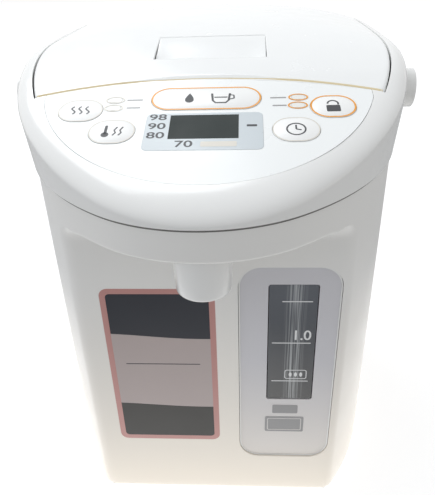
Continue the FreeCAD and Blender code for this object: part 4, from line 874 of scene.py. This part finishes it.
print("stage: control panel")
inkUp = 0.04
keyUp = 0.3 + inkUp  # print on the keys, which stand 0.3 mm proud
bezelUp = 0.1 + inkUp
for word, wide, ink in (("dispense_key", 0.9, orangeInk), ("unlock_key", 0.9, orangeInk),
                        ("timer_key", 0.55, creamInk), ("keep_warm_key", 0.55, creamInk),
                        ("boil_key", 0.55, creamInk)):
    band(word.replace("_key", "Line"), keyOutline(word), keyOutline(word, -wide), onPanel, keyUp, ink, word)
for k, (u, v, ink) in enumerate(((46.6, -22.5, orangeInk), (46.0, -29.5, orangeInk), (-46.6, -22.5, creamInk),
                                 (-46.6, -29.5, creamInk))):
    band(f"lampLine{k}", ellipse(u, v, 5.0, 3.0), ellipse(u, v, 4.2, 2.3), onPanel, 0.16, ink)
for words, u, v in (("98", -22.9, -38.2), ("90", -22.9, -45.4), ("80", -22.9, -52.6), ("70", -9.0, -59.4)):
    printed("heat" + words, words, 6.6, onPanel, u, v, bezelUp, blackInk, stretch=1.35, weight=0.1)

print("stage: key marks")


def mark(name, outlines, node, ink=blackInk):
    # Small flat pictograms from closed outlines drawn about a key's centre
    u, v = keyPlaces[node][:2]
    for k, outline in enumerate(outlines):
        patch(f"{name}{k}", [(u + a, v + b) for a, b in outline], onPanel, keyUp, ink, node)


def stroke(points, width):
    # A closed outline round an open line of points
    a = np.array(points, dtype=float)
    t = np.gradient(a, axis=0)
    nrm = np.column_stack([-t[:, 1], t[:, 0]])
    nrm /= np.maximum(np.hypot(nrm[:, 0], nrm[:, 1]), 1e-9)[:, None]
    return [tuple(p) for p in a + nrm * width / 2] + [tuple(p) for p in (a - nrm * width / 2)[::-1]]


def circleLine(cx, cy, r, width, a0=0, a1=360, n=40):
    return stroke([(cx + r * math.cos(math.radians(a)), cy + r * math.sin(math.radians(a)))
                   for a in np.linspace(a0, a1, n)], width)


turns = np.linspace(0, 2 * math.pi, 41)[:-1]
markDrop = [(math.sin(t) * math.sin(t / 2) ** 1.2 * 3.0 - 8.5, math.cos(t) * 4.14 + 0.4) for t in turns]
mark("markDrop", [markDrop], "dispense_key")
cupLines = (([(-4.6, 4.0), (-4.0, -2.2), (-2.6, -4.2), (2.6, -4.2), (4.0, -2.2), (4.6, 4.0)], 1.1),
            ([(4.4, 2.6), (6.6, 2.2), (6.8, -0.4), (4.2, -1.4)], 0.9), ([(-3.4, 0.6), (3.4, 0.6)], 0.9))
mark("markCup", [stroke([(x + 7.5, y) for x, y in line], width) for line, width in cupLines], "dispense_key")
mark("markLock", [roundRect(-3.4, 3.4, -4.6, 0.8, 0.7), circleLine(0.0, 2.0, 2.6, 0.9, -20, 180)],
     "unlock_key")
mark("markClock", [circleLine(0, 0, 4.4, 0.8), stroke([(0, 0), (0, 3.2)], 0.8),
                   stroke([(-0.1, 0), (2.4, -0.8)], 0.8)], "timer_key")
mark("markHeat", [ellipse(-3.0, -2.6, 1.9, 1.9), roundRect(-3.7, -2.3, -2.4, 4.6, 0.6),
                  stroke([(0.8, -3.2), (2.0, -1.2), (1.2, 0.8), (2.4, 3.4)], 0.8),
                  stroke([(3.6, -3.2), (4.8, -1.2), (4.0, 0.8), (5.2, 3.4)], 0.8)], "keep_warm_key")
wave = [(math.sin(t), t - 3.2) for t in np.linspace(0, 6.4, 16)]
mark("markBoil", [stroke([(x + side, y) for x, y in wave], 0.9) for side in (-3.6, 0.0, 3.6)], "boil_key")
lampBars = ((-36.5, -22.6, 8.0), (-36.5, -29.4, 7.0), (36.5, -22.6, 8.0), (37.0, -29.4, 7.0))
for k, (u, v, long) in enumerate(lampBars):
    bar = roundRect(u - long / 2, u + long / 2, v - 0.55, v + 0.55, 0.3, 3)
    patch(f"lampWord{k}", bar, onPanel, inkUp, greyInk)
patch("ecoMark", roundRect(20.6, 25.6, -46.4, -44.8, 0.4, 3), onPanel, bezelUp, blackInk)
patch("bottleMark", roundRect(-1.0, 16.0, -61.4, -57.6, 0.6, 3), onPanel, bezelUp, creamInk)

print("stage: softened frame pieces")


def softened(node, name, width, bodyName, material, segments=2):
    # A copy of a frame piece with its loose triangles merged and its sharp edges eased
    mesh = nodes[node].data.copy()
    bm = bmesh.new()
    bm.from_mesh(mesh)
    bmesh.ops.remove_doubles(bm, verts=bm.verts, dist=2e-6)
    bmesh.ops.dissolve_limit(bm, angle_limit=math.radians(1.0), verts=bm.verts, edges=bm.edges)
    bm.to_mesh(mesh)
    bm.free()
    mesh.materials.clear()
    mesh.materials.append(material)
    obj = bpy.data.objects.new(name, mesh)
    bpy.context.scene.collection.objects.link(obj)
    edge = obj.modifiers.new("edge", "BEVEL")
    edge.width = width * mm
    edge.segments = segments
    edge.limit_method = "ANGLE"
    edge.angle_limit = math.radians(40)
    applied(obj)
    obj.data.shade_smooth()
    obj.data.set_sharp_from_angle(angle=math.radians(50))
    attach(obj, bodyName)
    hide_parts(node)


softened("carry_handle", "handleBail", 1.6, "handle", white, 3)
softened("turntable", "turntableDisc", 0.5, "turntable", naturalWhite)
for word in keyPlaces:
    softened(word, word.replace("_key", "Button"), 0.15, word, keyWhite)

print("stage: camera and light")
studio = {"poolIn": 0.12, "poolOut": 0.36, "poolGlow": 1.12, "floorGlow": 0.08, "floorSeen": 0.74,
          "zenith": 0.74, "horizon": 0.13, "leftGain": -0.28, "sideGlow": 0.8}
floorMesh = bpy.data.meshes.new("floor")
bm = bmesh.new()
bmesh.ops.create_grid(bm, x_segments=1, y_segments=1, size=4)
bm.to_mesh(floorMesh)
bm.free()
floor = bpy.data.objects.new("floor", floorMesh)
bpy.context.scene.collection.objects.link(floor)
floorPaint = bpy.data.materials.new("pale studio floor")
floorPaint.use_nodes = True
floorShader = floorPaint.node_tree.nodes["Principled BSDF"]
floorShader.inputs["Base Color"].default_value = (0.36, 0.36, 0.36, 1)
floorShader.inputs["Roughness"].default_value = 0.9
floorShader.inputs["Emission Color"].default_value = (1, 1, 1, 1)
add, link = nodeAdder(floorPaint)
where = add("ShaderNodeTexCoord")
outFrom = add("ShaderNodeVectorMath", operation="LENGTH")
link(where.outputs["Object"], outFrom.inputs[0])
pool = add("ShaderNodeMapRange", interpolation_type="SMOOTHSTEP", in_1=studio["poolIn"],
           in_2=studio["poolOut"], in_3=studio["poolGlow"], in_4=studio["floorGlow"])  # a light table
link(outFrom.outputs["Value"], pool.inputs[0])
seen = add("ShaderNodeLightPath")
shown = add("ShaderNodeMix", data_type="FLOAT", in_3=studio["floorSeen"])
link(seen.outputs["Is Camera Ray"], shown.inputs[0])
link(pool.outputs[0], shown.inputs[2])
link(shown.outputs[0], floorShader.inputs["Emission Strength"])
floorMesh.materials.append(floorPaint)

scene = bpy.context.scene
scene.view_settings.view_transform = "Standard"
scene.view_settings.look = "None"
world = bpy.data.worlds.new("studio")
scene.world = world
world.use_nodes = True
sky = world.node_tree
glow = sky.nodes["Background"]
glow.inputs["Color"].default_value = (0.95, 0.97, 1.0, 1)
add, link = nodeAdder(world)
toward = add("ShaderNodeTexCoord")
split = add("ShaderNodeSeparateXYZ")
link(toward.outputs["Generated"], split.inputs["Vector"])
fromAbove = add("ShaderNodeMapRange", in_1=0.0, in_2=1.0, in_3=studio["horizon"], in_4=studio["zenith"])
link(split.outputs["Z"], fromAbove.inputs[0])
sideways = add("ShaderNodeMath", operation="MULTIPLY")
link(split.outputs["X"], sideways.inputs[0])
link(split.outputs["X"], sideways.inputs[1])
bothSides = add("ShaderNodeMath", operation="MULTIPLY_ADD", in_1=studio["sideGlow"])
link(sideways.outputs[0], bothSides.inputs[0])
link(fromAbove.outputs[0], bothSides.inputs[2])
fromLeft = add("ShaderNodeMath", operation="MULTIPLY_ADD", in_1=studio["leftGain"])
link(split.outputs["X"], fromLeft.inputs[0])
link(bothSides.outputs[0], fromLeft.inputs[2])
link(fromLeft.outputs[0], glow.inputs["Strength"])
backdrop = add("ShaderNodeBackground", in_Color=(1, 1, 1, 1), in_Strength=1.0)
ray = add("ShaderNodeLightPath")
cameraOrGloss = add("ShaderNodeMath", operation="MAXIMUM")
link(ray.outputs["Is Camera Ray"], cameraOrGloss.inputs[0])
link(ray.outputs["Is Glossy Ray"], cameraOrGloss.inputs[1])
orThrough = add("ShaderNodeMath", operation="MAXIMUM")
link(cameraOrGloss.outputs[0], orThrough.inputs[0])
link(ray.outputs["Is Transmission Ray"], orThrough.inputs[1])
either = add("ShaderNodeMixShader")
link(orThrough.outputs[0], either.inputs[0])
link(glow.outputs[0], either.inputs[1])
link(backdrop.outputs[0], either.inputs[2])
link(either.outputs[0], sky.nodes["World Output"].inputs[0])


def softbox(name, spot, aim, size, power, colour):
    data = bpy.data.lights.new(name, "AREA")
    data.shape = "RECTANGLE"
    data.size, data.size_y = size
    data.energy = power
    data.color = colour
    lamp = bpy.data.objects.new(name, data)
    scene.collection.objects.link(lamp)
    lamp.location = spot
    lamp.rotation_euler = (Vector(aim) - Vector(spot)).to_track_quat("-Z", "Y").to_euler()
    return lamp


softbox("keyAbove", (-0.45, 0.55, 1.3), (0, 0, 0.2), (0.8, 0.8), 7.6, (0.95, 0.98, 1.0))
softbox("warmRight", (1.2, -0.5, 0.25), (0.05, 0, 0.1), (0.8, 0.5), 0.8, (1.0, 0.9, 0.75))

forward = Vector((-0.0542, 0.8710, -0.4883)).normalized()
yaw, roll = 0.0621457, -0.0330365
right = Vector((math.cos(yaw), math.sin(yaw), 0))
up = right.cross(forward).normalized()
turnedRight = right * math.cos(roll) + up * math.sin(roll)
turnedUp = up * math.cos(roll) - right * math.sin(roll)
camData = bpy.data.cameras.new("photoCamera")
camData.sensor_width = 36.0
camData.lens = 36.0 * 536.69 / 495
camera = bpy.data.objects.new("photoCamera", camData)
scene.collection.objects.link(camera)
axes = Matrix((turnedRight, turnedUp, -forward)).transposed().to_4x4()
axes.translation = place(20.405, -344.569, 330.507)
camera.matrix_world = axes
scene.camera = camera
